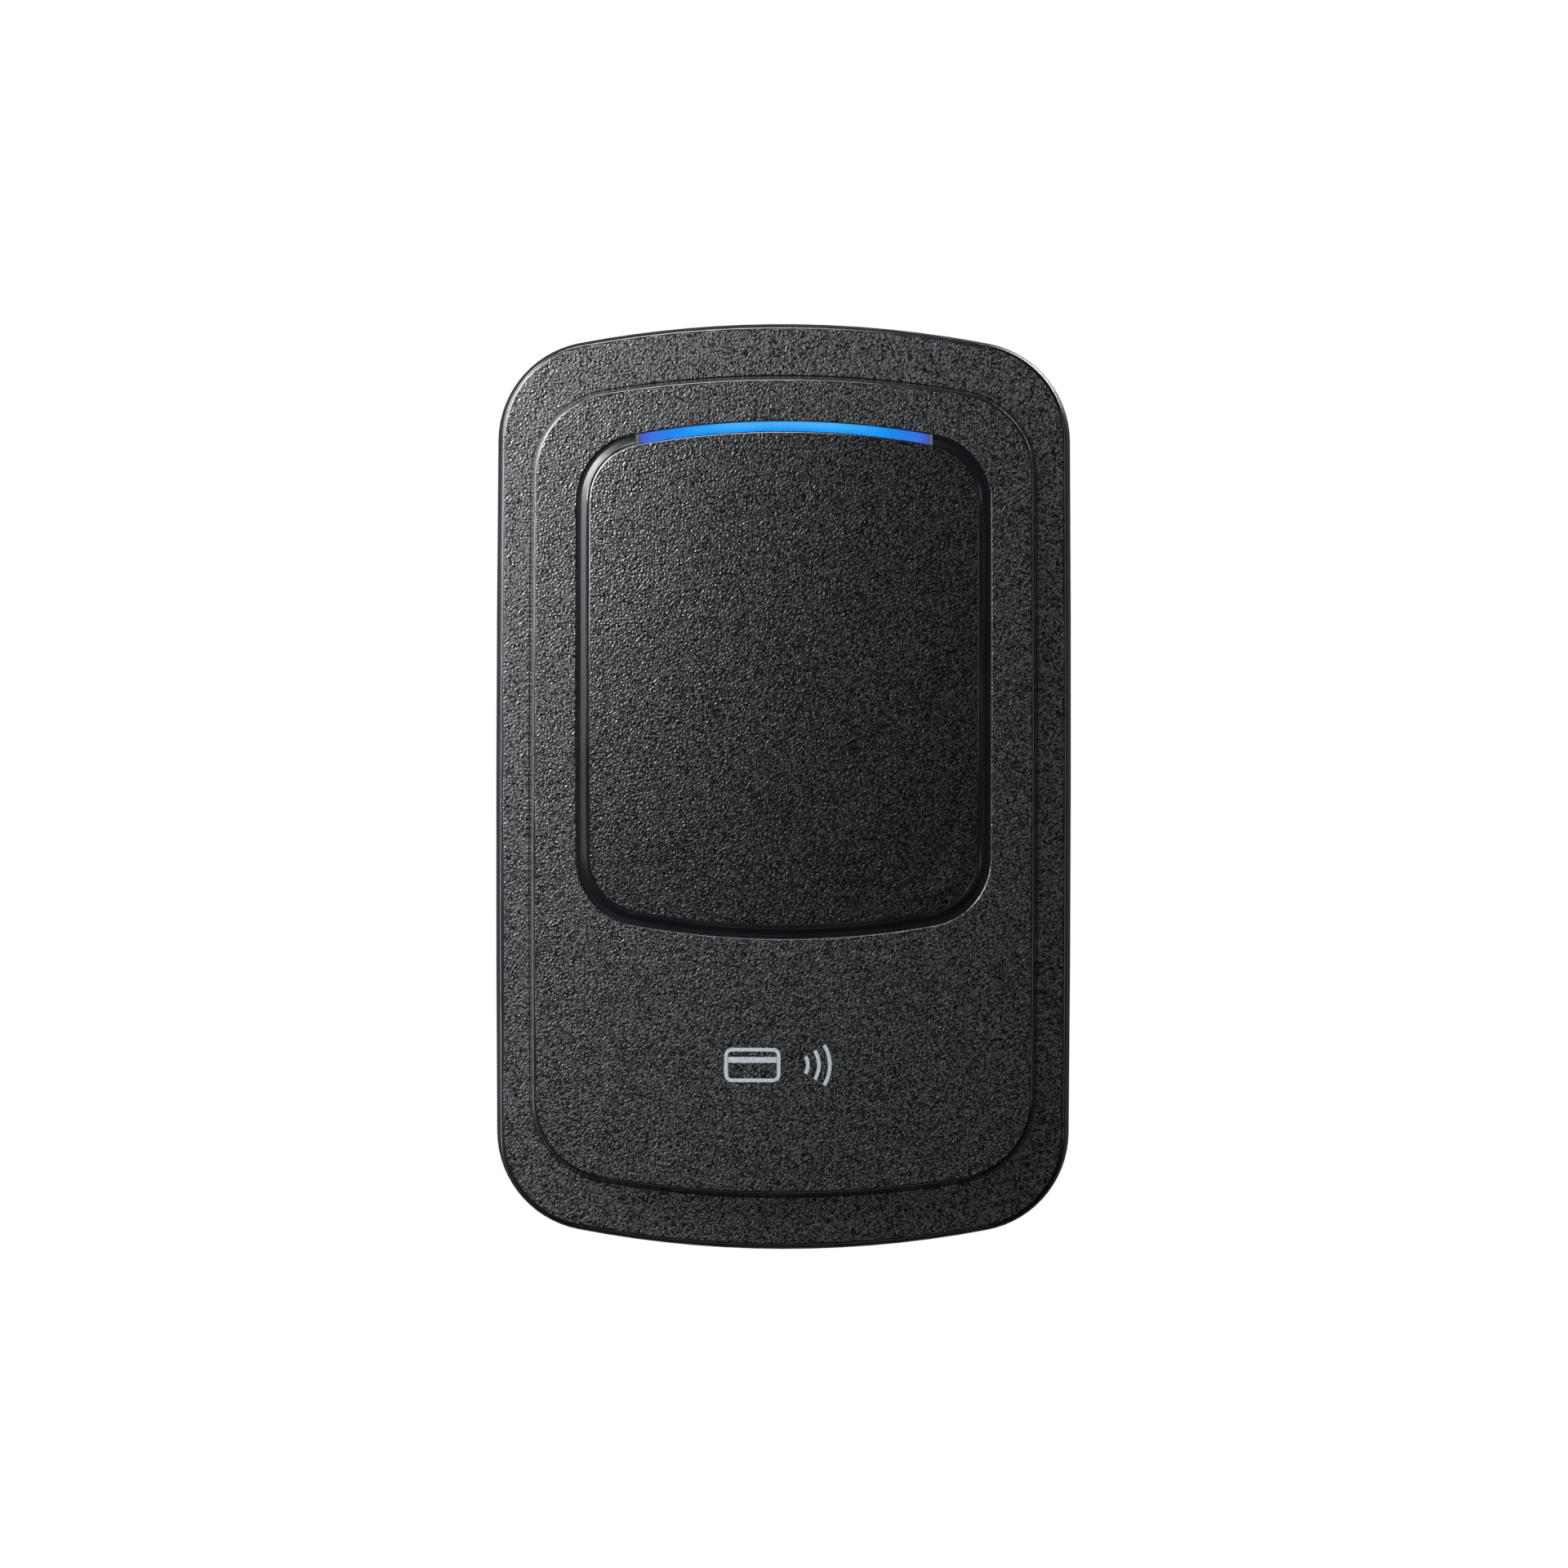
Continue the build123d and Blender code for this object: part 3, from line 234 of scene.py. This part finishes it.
def light_bar():
    """Diffuser lit from behind: brightest near the middle, fading and turning violet at its ends, where a
    thin pale grey line is a painted highlight on the end edges.
    """
    shader = Shader("lit_diffuser")
    low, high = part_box("light_guide")
    half = (high.x - low.x) / 2
    out = shader.maths("ABSOLUTE", shader.axis("X"))
    out = shader.maths("DIVIDE", out, half)
    colour = shader.ramp(
        out,
        [
            (0.0, (0.002, 0.31, 0.93)),
            (0.6, (0.0, 0.31, 0.93)),
            (0.80, (0.010, 0.22, 0.88)),
            (0.92, (0.045, 0.16, 0.78)),
            (0.97, (0.09, 0.12, 0.62)),
            # The last stop glows pale grey: a painted highlight along each end edge of the bar, not light
            # from the lamps behind it.
            (0.983, (0.10, 0.11, 0.22)),
            (0.992, (0.24, 0.25, 0.28)),
        ],
    )
    glow = shader.ramp(out, [(0.0, (1, 1, 1)), (0.9, (0.95, 0.95, 0.95)), (1.0, (0.6, 0.6, 0.6))])
    cloud = shader.noise(5 * MM, detail=2.0)
    strength = shader.maths("MULTIPLY", glow, shader.band(cloud, 0.3, 0.7, 0.94, 1.06))
    drop = shader.maths("MULTIPLY", shader.axis("X"), shader.axis("X"))
    level = shader.maths("ADD", shader.axis("Z"), shader.maths("DIVIDE", drop, 2 * BAR_BOW))
    pale = shader.band(level, high.z - EDGE_START, high.z - EDGE_FULL)
    middle = shader.band(out, 0.35, 0.7, 1.0, 0.0)
    blend = shader.add("ShaderNodeMix", data_type="RGBA")
    shader.link(shader.maths("MULTIPLY", pale, middle), blend.inputs["Factor"])
    shader.link(colour, blend.inputs["A"])
    blend.inputs["B"].default_value = (0.055, 0.42, 0.96, 1)
    shader.link(blend.outputs["Result"], shader.surface.inputs["Emission Color"])
    shader.link(strength, shader.surface.inputs["Emission Strength"])
    shader.set(Specular_IOR_Level=0.1)
    tint = shader.ramp(cloud, [(0.3, (0.004, 0.007, 0.012)), (0.7, (0.007, 0.012, 0.02))])
    return shader.finish(tint, shader.band(cloud, 0.3, 0.7, 0.2, 0.28))


def plated_steel(name, colour, rough, grain=(1, 1, 1), spangle=2 * MM):
    """Zinc-plated sheet or screw: cloudy crystals, fine drawing lines and faint wear."""
    shader = Shader(name)
    crystals = shader.cells(spangle)
    cloud = shader.noise(6 * MM, detail=4.0)
    lines = shader.noise(0.15 * MM, detail=1.0, stretch=grain)
    dull = tuple(0.78 * c for c in colour)
    tint = shader.ramp(shader.maths("ADD", crystals, cloud), [(0.5, dull), (1.3, colour)])
    gloss = shader.band(lines, 0.3, 0.7, rough - 0.06, rough + 0.1)
    relief = shader.bump(lines, 0.004 * MM)
    relief = shader.bump(cloud, 0.02 * MM, under=relief)
    shader.set(Metallic=1.0)
    return shader.finish(tint, gloss, relief)


def rubber(name, colour):
    """Dull moulded rubber with a little dust on it."""
    shader = Shader(name)
    dust = shader.noise(0.6 * MM, detail=3.0)
    tint = shader.ramp(dust, [(0.4, colour), (0.75, tuple(1.8 * c for c in colour))])
    return shader.finish(tint, shader.band(dust, 0.3, 0.7, 0.7, 0.85), shader.bump(dust, 0.01 * MM))


TRACE_CELL = 2.6 * MM


def circuit_board(name):
    """Green solder mask over copper: lighter where a trace runs under it."""
    shader = Shader(name)
    lanes = shader.add("ShaderNodeTexBrick")
    lanes.inputs["Scale"].default_value = 1 / TRACE_CELL
    lanes.inputs["Mortar Size"].default_value = 0.06
    lanes.inputs["Color1"].default_value = (0.006, 0.070, 0.030, 1)
    lanes.inputs["Color2"].default_value = (0.008, 0.085, 0.038, 1)
    lanes.inputs["Mortar"].default_value = (0.02, 0.17, 0.07, 1)
    turned = shader.add("ShaderNodeMapping")
    turned.inputs["Rotation"].default_value = (math.radians(90), 0, 0)
    shader.link(shader.place, turned.inputs["Vector"])
    shader.link(turned.outputs["Vector"], lanes.inputs["Vector"])
    weave = shader.noise(0.5 * MM, detail=2.0)
    relief = shader.bump(lanes.outputs["Fac"], 0.02 * MM)
    relief = shader.bump(weave, 0.006 * MM, under=relief)
    gloss = shader.band(weave, 0.3, 0.7, 0.25, 0.4)
    return shader.finish(lanes.outputs["Color"], gloss, relief)


def speckled(name, dark, light, rough, size=0.4 * MM, depth=0.01 * MM):
    """General moulded or sintered surface with a fine two-tone speckle."""
    shader = Shader(name)
    grain = shader.noise(size, detail=3.0, roughness=0.6)
    tint = shader.ramp(grain, [(0.35, dark), (0.7, light)])
    gloss = shader.band(grain, 0.3, 0.7, rough - 0.05, rough + 0.08)
    return shader.finish(tint, gloss, shader.bump(grain, depth))


def printed_ink():
    """Pale grey pad-printed ink, a little uneven over the grain."""
    shader = Shader("printed_ink")
    cover = shader.noise(0.3 * MM, detail=3.0)
    tint = shader.ramp(cover, [(0.25, (0.24, 0.26, 0.28)), (0.6, (0.36, 0.38, 0.41))])
    return shader.finish(tint, shader.band(cover, 0.3, 0.7, 0.5, 0.65), shader.bump(cover, 0.01 * MM))


WALL_SATIN = satin_plastic("wall_satin", (0.0060, 0.0066, 0.0076), 0.2)
TRIM_GLOSS = polished_plastic("trim_gloss", (0.0030, 0.0035, 0.0045), 0.26)
PAD_WALL = polished_plastic("pad_wall_gloss", (0.004, 0.0045, 0.0055), 0.16, level=1.0)
HOUSING_SATIN = satin_plastic("housing_satin", (0.020, 0.020, 0.021), 0.45)
BRACKET_STEEL = plated_steel("bracket_zinc", (0.60, 0.61, 0.62), 0.34, grain=(1, 1, 0.04))
SCREW_STEEL = plated_steel("screw_zinc", (0.62, 0.63, 0.66), 0.26, spangle=0.8 * MM)
NUT_STEEL = plated_steel("nut_plating", (0.60, 0.57, 0.50), 0.3, spangle=0.8 * MM)
BLACK_STEEL = plated_steel("black_oxide", (0.05, 0.05, 0.055), 0.4, spangle=0.8 * MM)
SPRING_STEEL = plated_steel("spring_wire", (0.45, 0.44, 0.42), 0.25, spangle=0.8 * MM)
BRASS = plated_steel("turned_brass", (0.66, 0.47, 0.20), 0.25, spangle=1 * MM)
COPPER = plated_steel("copper_trace", (0.68, 0.33, 0.18), 0.28, spangle=1 * MM)
TINNED = plated_steel("tinned_lead", (0.66, 0.66, 0.65), 0.3, spangle=0.5 * MM)
BLACK_RUBBER = rubber("black_rubber", (0.012, 0.012, 0.012))
BOARD = circuit_board("board_green")
CHIP_EPOXY = speckled("chip_epoxy", (0.010, 0.010, 0.011), (0.022, 0.022, 0.023), 0.6)
NYLON = speckled("header_nylon", (0.62, 0.59, 0.50), (0.72, 0.70, 0.62), 0.5)
CERAMIC = speckled("capacitor_ceramic", (0.30, 0.19, 0.10), (0.40, 0.27, 0.16), 0.5)
FERRITE = speckled("ferrite", (0.018, 0.018, 0.020), (0.045, 0.045, 0.048), 0.55, size=0.2 * MM)
LAMP = speckled("lamp_body", (0.70, 0.68, 0.60), (0.82, 0.80, 0.74), 0.35)
TAPE = speckled("foam_tape", (0.55, 0.53, 0.46), (0.68, 0.66, 0.58), 0.8, depth=0.03 * MM)
SLEEVE = speckled("capacitor_sleeve", (0.010, 0.012, 0.03), (0.016, 0.02, 0.05), 0.35)
ENAMEL = plated_steel("enamelled_wire", (0.62, 0.26, 0.10), 0.24, spangle=1 * MM)
INK = printed_ink()
BODY_GRAIN = grained_plastic("body_grain", 0.22 * MM, gloss=(0.21, 0.54), level=0.95, light=0.017)
PAD_GRAIN = grained_plastic("pad_grain", 0.22 * MM, gloss=(0.19, 0.50), level=0.74, light=0.005)
FLANGE_GRAIN = grained_plastic("flange_grain", 0.23 * MM, gloss=(0.22, 0.58), level=0.80, light=0.031)

PLAIN_FINISHES = {
    "wall_bracket": BRACKET_STEEL,
    "lock_nut": NUT_STEEL,
    "lock_screw": BLACK_STEEL,
    "screw_retainer": SPRING_STEEL,
    "tamper_plunger": HOUSING_SATIN,
    "tamper_clip": SPRING_STEEL,
    "tamper_spring": SPRING_STEEL,
    "groove_trim": TRIM_GLOSS,
    "light_guide": light_bar(),
    "pad_adhesive": TAPE,
    "rear_housing": HOUSING_SATIN,
    "case_seal": BLACK_RUBBER,
    "cable_grommet": BLACK_RUBBER,
    "threaded_inserts": BRASS,
    "case_screws": SCREW_STEEL,
    "bezel_screws": SCREW_STEEL,
    "board_screws": SCREW_STEEL,
    "antenna_board": BOARD,
    "hf_antenna_coil": COPPER,
    "lf_antenna_coil": COPPER,
    "ferrite_sheet": FERRITE,
    "status_leds": LAMP,
    "light_gasket": BLACK_RUBBER,
    "antenna_header": NYLON,
    "main_board": BOARD,
    "processor_chip": CHIP_EPOXY,
    "reader_chips": CHIP_EPOXY,
    "interface_chips": CHIP_EPOXY,
    "radio_board": BOARD,
    "radio_shield": TINNED,
    "crystals": TINNED,
    "power_inductor": FERRITE,
    "bulk_capacitors": SLEEVE,
    "ceramic_capacitors": CERAMIC,
    "chip_resistors": CHIP_EPOXY,
    "surge_diodes": CHIP_EPOXY,
    "buzzer": CHIP_EPOXY,
    "cable_header": NYLON,
    "tamper_switch": CHIP_EPOXY,
}


def dress(node, *materials):
    """Puts these materials on a CAD node; the first covers all of it."""
    mesh = NODES[node].data
    mesh.materials.clear()
    for material in materials:
        mesh.materials.append(material)
    for face in mesh.polygons:
        face.material_index = 0


FACING_FORWARDS = 0.985


def dress_front(node, front, side, rearmost):
    """Puts the front finish on forward faces in front of this depth, and the side finish on all others."""
    dress(node, side, front)
    for face in NODES[node].data.polygons:
        if -face.normal.y > FACING_FORWARDS and face.center.y < rearmost:
            face.material_index = 1


for node_name, finish in PLAIN_FINISHES.items():
    dress(node_name, finish)

FLANGE_REARMOST = -13.5 * MM
BODY_REARMOST = -19.0 * MM
PAD_REARMOST = -20.5 * MM

dress_front("outer_bezel", FLANGE_GRAIN, WALL_SATIN, FLANGE_REARMOST)
dress_front("front_cover", BODY_GRAIN, WALL_SATIN, BODY_REARMOST)
dress_front("reading_pad", PAD_GRAIN, PAD_WALL, PAD_REARMOST)


# ---- printed mark -------------------------------------------------------------------------------


def surface_of(name):
    """Search tree over the surface of a CAD node."""
    mesh = NODES[name].data
    points = [v.co.copy() for v in mesh.vertices]
    faces = [list(face.vertices) for face in mesh.polygons]
    return BVHTree.FromPolygons(points, faces)


def strip(outline, width, closed=False):
    """Corner points of a flat line of this width, as left and right points along its path."""
    rows = []
    count = len(outline)
    for n, (x, z) in enumerate(outline):
        before = outline[n - 1] if n or closed else outline[n]
        after = outline[(n + 1) % count] if n + 1 < count or closed else outline[n]
        along = Vector((after[0] - before[0], after[1] - before[1])).normalized()
        side = Vector((-along.y, along.x)) * width / 2
        rows.append(((x + side.x, z + side.y), (x - side.x, z - side.y)))
    return rows


def arc(cx, cz, radius, start, end, steps):
    """Points on an arc, its angles in degrees."""
    angles = [math.radians(start + (end - start) * n / steps) for n in range(steps + 1)]
    return [(cx + radius * math.cos(a), cz + radius * math.sin(a)) for a in angles]


def rounded_box(cx, cz, width, height, corner, steps=6):
    """Points round a rectangle with round corners."""
    points = []
    for n, (sx, sz) in enumerate([(1, 1), (-1, 1), (-1, -1), (1, -1)]):
        middle_x = cx + sx * (width / 2 - corner)
        middle_z = cz + sz * (height / 2 - corner)
        points += arc(middle_x, middle_z, corner, 90 * n, 90 * (n + 1), steps)
    return points


def printed_lines(name, lines, surface, proud):
    """Thin ink lines laid on a curved front. Each line is its points, its width and if it closes."""
    mesh = bmesh.new()
    for outline, width, closed in lines:
        rows = []
        for pair in strip(outline, width, closed):
            row = []
            for x, z in pair:
                hit = surface.ray_cast(Vector((x, -1, z)), Vector((0, 1, 0)))[0]
                row.append(mesh.verts.new((x, hit.y - proud, z)))
            rows.append(row)
        pairs = list(zip(rows, rows[1:]))
        if closed:
            pairs.append((rows[-1], rows[0]))
        for (left, right), (next_left, next_right) in pairs:
            mesh.faces.new((left, right, next_right, next_left))
    data = bpy.data.meshes.new(name)
    bmesh.ops.recalc_face_normals(mesh, faces=mesh.faces)
    mesh.to_mesh(data)
    mesh.free()
    if data.polygons and data.polygons[0].normal.y > 0:
        data.flip_normals()
    piece = bpy.data.objects.new(name, data)
    bpy.context.scene.collection.objects.link(piece)
    return piece


MARK_Z = -38.1 * MM
INK_HEIGHT = 0.02 * MM
LINE = 0.5 * MM
CARD_X = -4.2 * MM
CARD_WIDTH = 7.2 * MM
CARD_HEIGHT = 4.2 * MM
CARD_CORNER = 0.8 * MM
STRIPE_RISE = 0.7 * MM
STRIPE_REACH = 3.3 * MM
STRIPE_WIDTH = 0.8 * MM
WAVES = 3
WAVE_X = 1.2 * MM
WAVE_START = 2.2 * MM
WAVE_STEP = 1.5 * MM
WAVE_ANGLE = 32


def front_mark():
    """A card with a stripe, and waves beside it, printed low on the front."""
    card = rounded_box(CARD_X, MARK_Z, CARD_WIDTH, CARD_HEIGHT, CARD_CORNER)
    stripe_z = MARK_Z + STRIPE_RISE
    stripe = [(CARD_X - STRIPE_REACH, stripe_z), (CARD_X + STRIPE_REACH, stripe_z)]
    lines = [(card, LINE, True), (stripe, STRIPE_WIDTH, False)]
    for n in range(WAVES):
        radius = WAVE_START + n * WAVE_STEP
        lines.append((arc(WAVE_X, MARK_Z, radius, -WAVE_ANGLE, WAVE_ANGLE, 16), LINE, False))
    mark = printed_lines("front_mark", lines, surface_of("front_cover"), INK_HEIGHT)
    mark.data.materials.append(INK)
    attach(mark, "reader")


front_mark()


# ---- wound coil and threaded screw --------------------------------------------------------------


def skin(name, rows, finish, body, closed=True, caps=False):
    """Mesh over rings of points: each ring closes on itself, and the last may join the first."""
    mesh = bmesh.new()
    rings = [[mesh.verts.new(point) for point in row] for row in rows]
    pairs = list(zip(rings, rings[1:]))
    if closed:
        pairs.append((rings[-1], rings[0]))
    for ring, beyond in pairs:
        for n in range(len(ring)):
            after = (n + 1) % len(ring)
            mesh.faces.new((ring[n], ring[after], beyond[after], beyond[n]))
    if caps:
        mesh.faces.new(rings[0])
        mesh.faces.new(rings[-1])
    bmesh.ops.recalc_face_normals(mesh, faces=mesh.faces)
    data = bpy.data.meshes.new(name)
    mesh.to_mesh(data)
    mesh.free()
    data.materials.append(finish)
    piece = bpy.data.objects.new(name, data)
    bpy.context.scene.collection.objects.link(piece)
    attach(piece, body)
    return piece


COIL_BAND = 3.5 * MM
COIL_CORNER = 6.5 * MM
WIRES_ACROSS = 19
WIRES_DEEP = 4
WIRE_STEPS = 4


def bundle_profile(width, depth):
    """Outline of a block of round wires: across the winding, and out from the board."""
    points = []
    sides = [
        ((-1, -1), (1, 0), WIRES_ACROSS, width),
        ((1, -1), (0, 1), WIRES_DEEP, depth),
        ((1, 1), (-1, 0), WIRES_ACROSS, width),
        ((-1, 1), (0, -1), WIRES_DEEP, depth),
    ]
    for (corner_x, corner_y), (run_x, run_y), wires, length in sides:
        radius = length / wires / 2
        for wire in range(wires):
            for step in range(WIRE_STEPS):
                turn = math.pi * (step + 0.5) / WIRE_STEPS
                along = (2 * wire + 1) * radius - radius * math.cos(turn)
                rise = radius * (math.sin(turn) - 1)
                points.append(
                    (
                        corner_x * width / 2 + run_x * along + run_y * rise,
                        corner_y * depth / 2 + run_y * along - run_x * rise,
                    )
                )
    return points


def wound_coil():
    """The low-frequency winding, turn beside turn of enamelled wire."""
    low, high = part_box("lf_antenna_coil")
    middle = (low + high) / 2
    width, height = high.x - low.x, high.z - low.z
    profile = bundle_profile(COIL_BAND, high.y - low.y)
    path = rounded_box(0, middle.z, width - COIL_BAND, height - COIL_BAND, COIL_CORNER, steps=10)
    rows = []
    for n, (x, z) in enumerate(path):
        before, after = path[n - 1], path[(n + 1) % len(path)]
        along = Vector((after[0] - before[0], after[1] - before[1])).normalized()
        out = Vector((along.y, -along.x))
        rows.append(
            [(x + out.x * across, middle.y - up, z + out.y * across) for across, up in profile]
        )
    coil = skin("coil_winding", rows, ENAMEL, "reader")
    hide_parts("lf_antenna_coil")


THREAD_PITCH = 0.5 * MM
THREAD_DEPTH = 0.28 * MM
THREAD_SLOPE = 2.6
END_CUT = 0.1 * MM
NECK_RADIUS = 1.1 * MM
NECK_GAP = 0.05 * MM
SOCKET_RADIUS = 0.85 * MM
SOCKET_DEPTH = 1.6 * MM
CAP_RADIUS = 0.1 * MM
SCREW_SIDES = 36
ROWS_PER_TURN = 8


def screw_radius(z, turn, full, low, high, neck):
    """Distance of the thread's surface from the screw's axis."""
    phase = (z / THREAD_PITCH - turn / (2 * math.pi)) % 1
    radius = full - THREAD_DEPTH * min(1.0, THREAD_SLOPE * abs(phase - 0.5))
    ends = min(z - low, high - z)
    radius = min(radius, full - THREAD_DEPTH - END_CUT + ends)
    if neck[0] < z < neck[1]:
        radius = NECK_RADIUS
    return radius


def threaded_screw():
    """M3 set screw with a real thread, a plain neck for its ring and a hexagon socket."""
    low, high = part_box("lock_screw")
    ring_low, ring_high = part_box("screw_retainer")
    neck = (ring_low.z - NECK_GAP, ring_high.z + NECK_GAP)
    axis = (low + high) / 2
    full = (high.x - low.x) / 2
    count = round((high.z - low.z) / THREAD_PITCH * ROWS_PER_TURN)
    turns = [2 * math.pi * n / SCREW_SIDES for n in range(SCREW_SIDES)]

    def ring(z, radii):
        """Points round the screw at this height, each at its own radius."""
        return [(axis.x + r * math.cos(a), axis.y + r * math.sin(a), z) for r, a in zip(radii, turns)]

    sixth = math.pi / 3
    flat = SOCKET_RADIUS * math.cos(sixth / 2)
    hexagon = [flat / math.cos(a % sixth - sixth / 2) for a in turns]
    cap = [CAP_RADIUS] * SCREW_SIDES
    floor = low.z + SOCKET_DEPTH
    rows = [ring(floor, cap), ring(floor, hexagon), ring(low.z, hexagon)]
    for n in range(count + 1):
        z = low.z + (high.z - low.z) * n / count
        rows.append(ring(z, [screw_radius(z, a, full, low.z, high.z, neck) for a in turns]))
    rows.append(ring(high.z, cap))
    screw = skin("lock_screw_thread", rows, BLACK_STEEL, "set_screw", closed=False, caps=True)
    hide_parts("lock_screw")


wound_coil()
threaded_screw()


# ---- finishes that change within a part ---------------------------------------------------------


def second_finish(node, finish, chosen):
    """Another finish on the faces of a CAD node that the test picks."""
    mesh = NODES[node].data
    mesh.materials.append(finish)
    index = len(mesh.materials) - 1
    for face in mesh.polygons:
        if chosen(face):
            face.material_index = index


FACING_END = 0.9
LEG_HEIGHT = 0.27 * MM
LEG_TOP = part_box("main_board")[0].y - LEG_HEIGHT

for node_name in ("processor_chip", "interface_chips"):
    second_finish(node_name, TINNED, lambda face: face.center.y > LEG_TOP)
for node_name in ("ceramic_capacitors", "chip_resistors"):
    second_finish(node_name, TINNED, lambda face: abs(face.normal.z) > FACING_END)
second_finish("surge_diodes", TINNED, lambda face: abs(face.normal.x) > FACING_END)


# ---- floor, light and camera --------------------------------------------------------------------


FLOOR_DROP = 0.07
FLOOR_REAR = 0.22
FLOOR_REACH = 1.4


def plain_floor():
    """Pale floor below the reader, which hangs above it as on a stand."""
    level = LOW.z - FLOOR_DROP
    outline = [(-1, -FLOOR_REACH), (1, -FLOOR_REACH), (1, FLOOR_REAR), (-1, FLOOR_REAR)]
    corners = [(side * FLOOR_REACH, y, level) for side, y in outline]
    data = bpy.data.meshes.new("floor")
    data.from_pydata(corners, [], [(0, 1, 2, 3)])
    floor = bpy.data.objects.new("floor", data)
    bpy.context.scene.collection.objects.link(floor)
    shader = Shader("pale_floor")
    mottle = shader.noise(60 * MM, detail=3.0)
    tint = shader.ramp(mottle, [(0.3, (0.80, 0.80, 0.80)), (0.7, (0.84, 0.84, 0.84))])
    shader.link(tint, shader.surface.inputs["Emission Color"])
    shader.set(Emission_Strength=0.85)
    data.materials.append(shader.finish(tint, shader.band(mottle, 0.3, 0.7, 0.6, 0.7)))
    floor.visible_diffuse = False
    floor.visible_glossy = False


def aim(thing, target):
    """Turns a light or camera towards a point."""
    away = Vector(thing.location) - Vector(target)
    thing.rotation_euler = away.to_track_quat("Z", "Y").to_euler()


def softbox(name, place, size, power, colour=(1, 1, 1)):
    """Rectangular light that the camera doesn't see, turned towards the reader's middle."""
    data = bpy.data.lights.new(name, "AREA")
    data.shape = "RECTANGLE"
    data.size, data.size_y = size
    data.energy = power
    data.color = colour
    lamp = bpy.data.objects.new(name, data)
    lamp.location = place
    lamp.visible_camera = False
    aim(lamp, CENTRE)
    bpy.context.scene.collection.objects.link(lamp)
    return lamp


# The room is dim where a direction is far from this one, and brighter along it: behind and above.
ROOM_TINT = (0.74, 0.86, 1.0, 1)
BRIGHT_WAY = (-0.10, 0.93, 0.35)
FAR, ALONG = 0.78, 0.96
DIM, BRIGHT = 0.022, 0.06


def room():
    """White to the camera; to the object, a dim blue room."""
    world = bpy.data.worlds.new("studio")
    world.use_nodes = True
    tree = world.node_tree
    seen = tree.nodes["Background"]
    seen.inputs["Color"].default_value = (1, 1, 1, 1)
    felt = tree.nodes.new("ShaderNodeBackground")
    felt.inputs["Color"].default_value = ROOM_TINT
    place = tree.nodes.new("ShaderNodeTexCoord")
    lean = tree.nodes.new("ShaderNodeVectorMath")
    lean.operation = "DOT_PRODUCT"
    lean.inputs[1].default_value = BRIGHT_WAY
    fall = tree.nodes.new("ShaderNodeMapRange")
    fall.inputs["From Min"].default_value = FAR
    fall.inputs["From Max"].default_value = ALONG
    fall.inputs["To Min"].default_value = DIM
    fall.inputs["To Max"].default_value = BRIGHT
    tree.links.new(place.outputs["Generated"], lean.inputs[0])
    tree.links.new(lean.outputs["Value"], fall.inputs["Value"])
    tree.links.new(fall.outputs["Result"], felt.inputs["Strength"])
    path = tree.nodes.new("ShaderNodeLightPath")
    mix = tree.nodes.new("ShaderNodeMixShader")
    tree.links.new(path.outputs["Is Camera Ray"], mix.inputs["Fac"])
    tree.links.new(felt.outputs["Background"], mix.inputs[1])
    tree.links.new(seen.outputs["Background"], mix.inputs[2])
    tree.links.new(mix.outputs["Shader"], tree.nodes["World Output"].inputs["Surface"])
    bpy.context.scene.world = world


def lamps():
    """Softboxes to the left and above light the front, weak ones its other edges, two the back."""
    key = softbox("key_left", (-0.22, -0.28, 0.165), (0.14, 0.14), 1.74, (0.98, 0.99, 1.0))
    key.data.use_shadow = False
    softbox("panel_left", (-0.36, -0.34, 0.13), (0.20, 0.18), 0.70, (0.86, 0.93, 1.0))
    softbox("side_left", (-0.45, -0.10, 0.24), (0.15, 0.45), 5.4, (0.97, 0.99, 1.0))
    softbox("side_top", (-0.08, -0.14, 0.42), (0.28, 0.14), 1.9, (0.97, 0.99, 1.0))
    softbox("side_right", (0.45, -0.12, 0.04), (0.20, 0.28), 0.30, (0.80, 0.90, 1.0))
    softbox("side_low", (0.0, -0.16, -0.45), (0.30, 0.16), 0.15, (0.80, 0.90, 1.0))
    softbox("back_left", (0.45, 0.75, 0.5), (0.5, 0.5), 9.0)
    softbox("back_right", (-0.7, 0.5, 0.1), (0.3, 0.6), 2.5, (0.92, 0.96, 1.0))


CAMERA_DISTANCE = 1.2
FRAME_WIDTH = 2.73 * WIDTH
CAMERA_ROLL = 0.106  # degrees
CAMERA_ACROSS = 0.06 * MM
CAMERA_RISE = 0.4 * MM


def front_camera():
    """Long lens straight in front of the reader, level with its middle."""
    data = bpy.data.cameras.new("front")
    data.sensor_width = 36
    data.lens = data.sensor_width * CAMERA_DISTANCE / FRAME_WIDTH
    camera = bpy.data.objects.new("front", data)
    middle = Vector((CENTRE.x + CAMERA_ACROSS, HIGH.y, CENTRE.z + CAMERA_RISE))
    camera.location = middle + Vector((0, -CAMERA_DISTANCE, 0))
    aim(camera, middle)
    camera.rotation_euler.rotate_axis("Z", math.radians(CAMERA_ROLL))
    bpy.context.scene.collection.objects.link(camera)
    bpy.context.scene.camera = camera


plain_floor()
room()
lamps()
front_camera()
bpy.context.scene.view_settings.view_transform = "Standard"
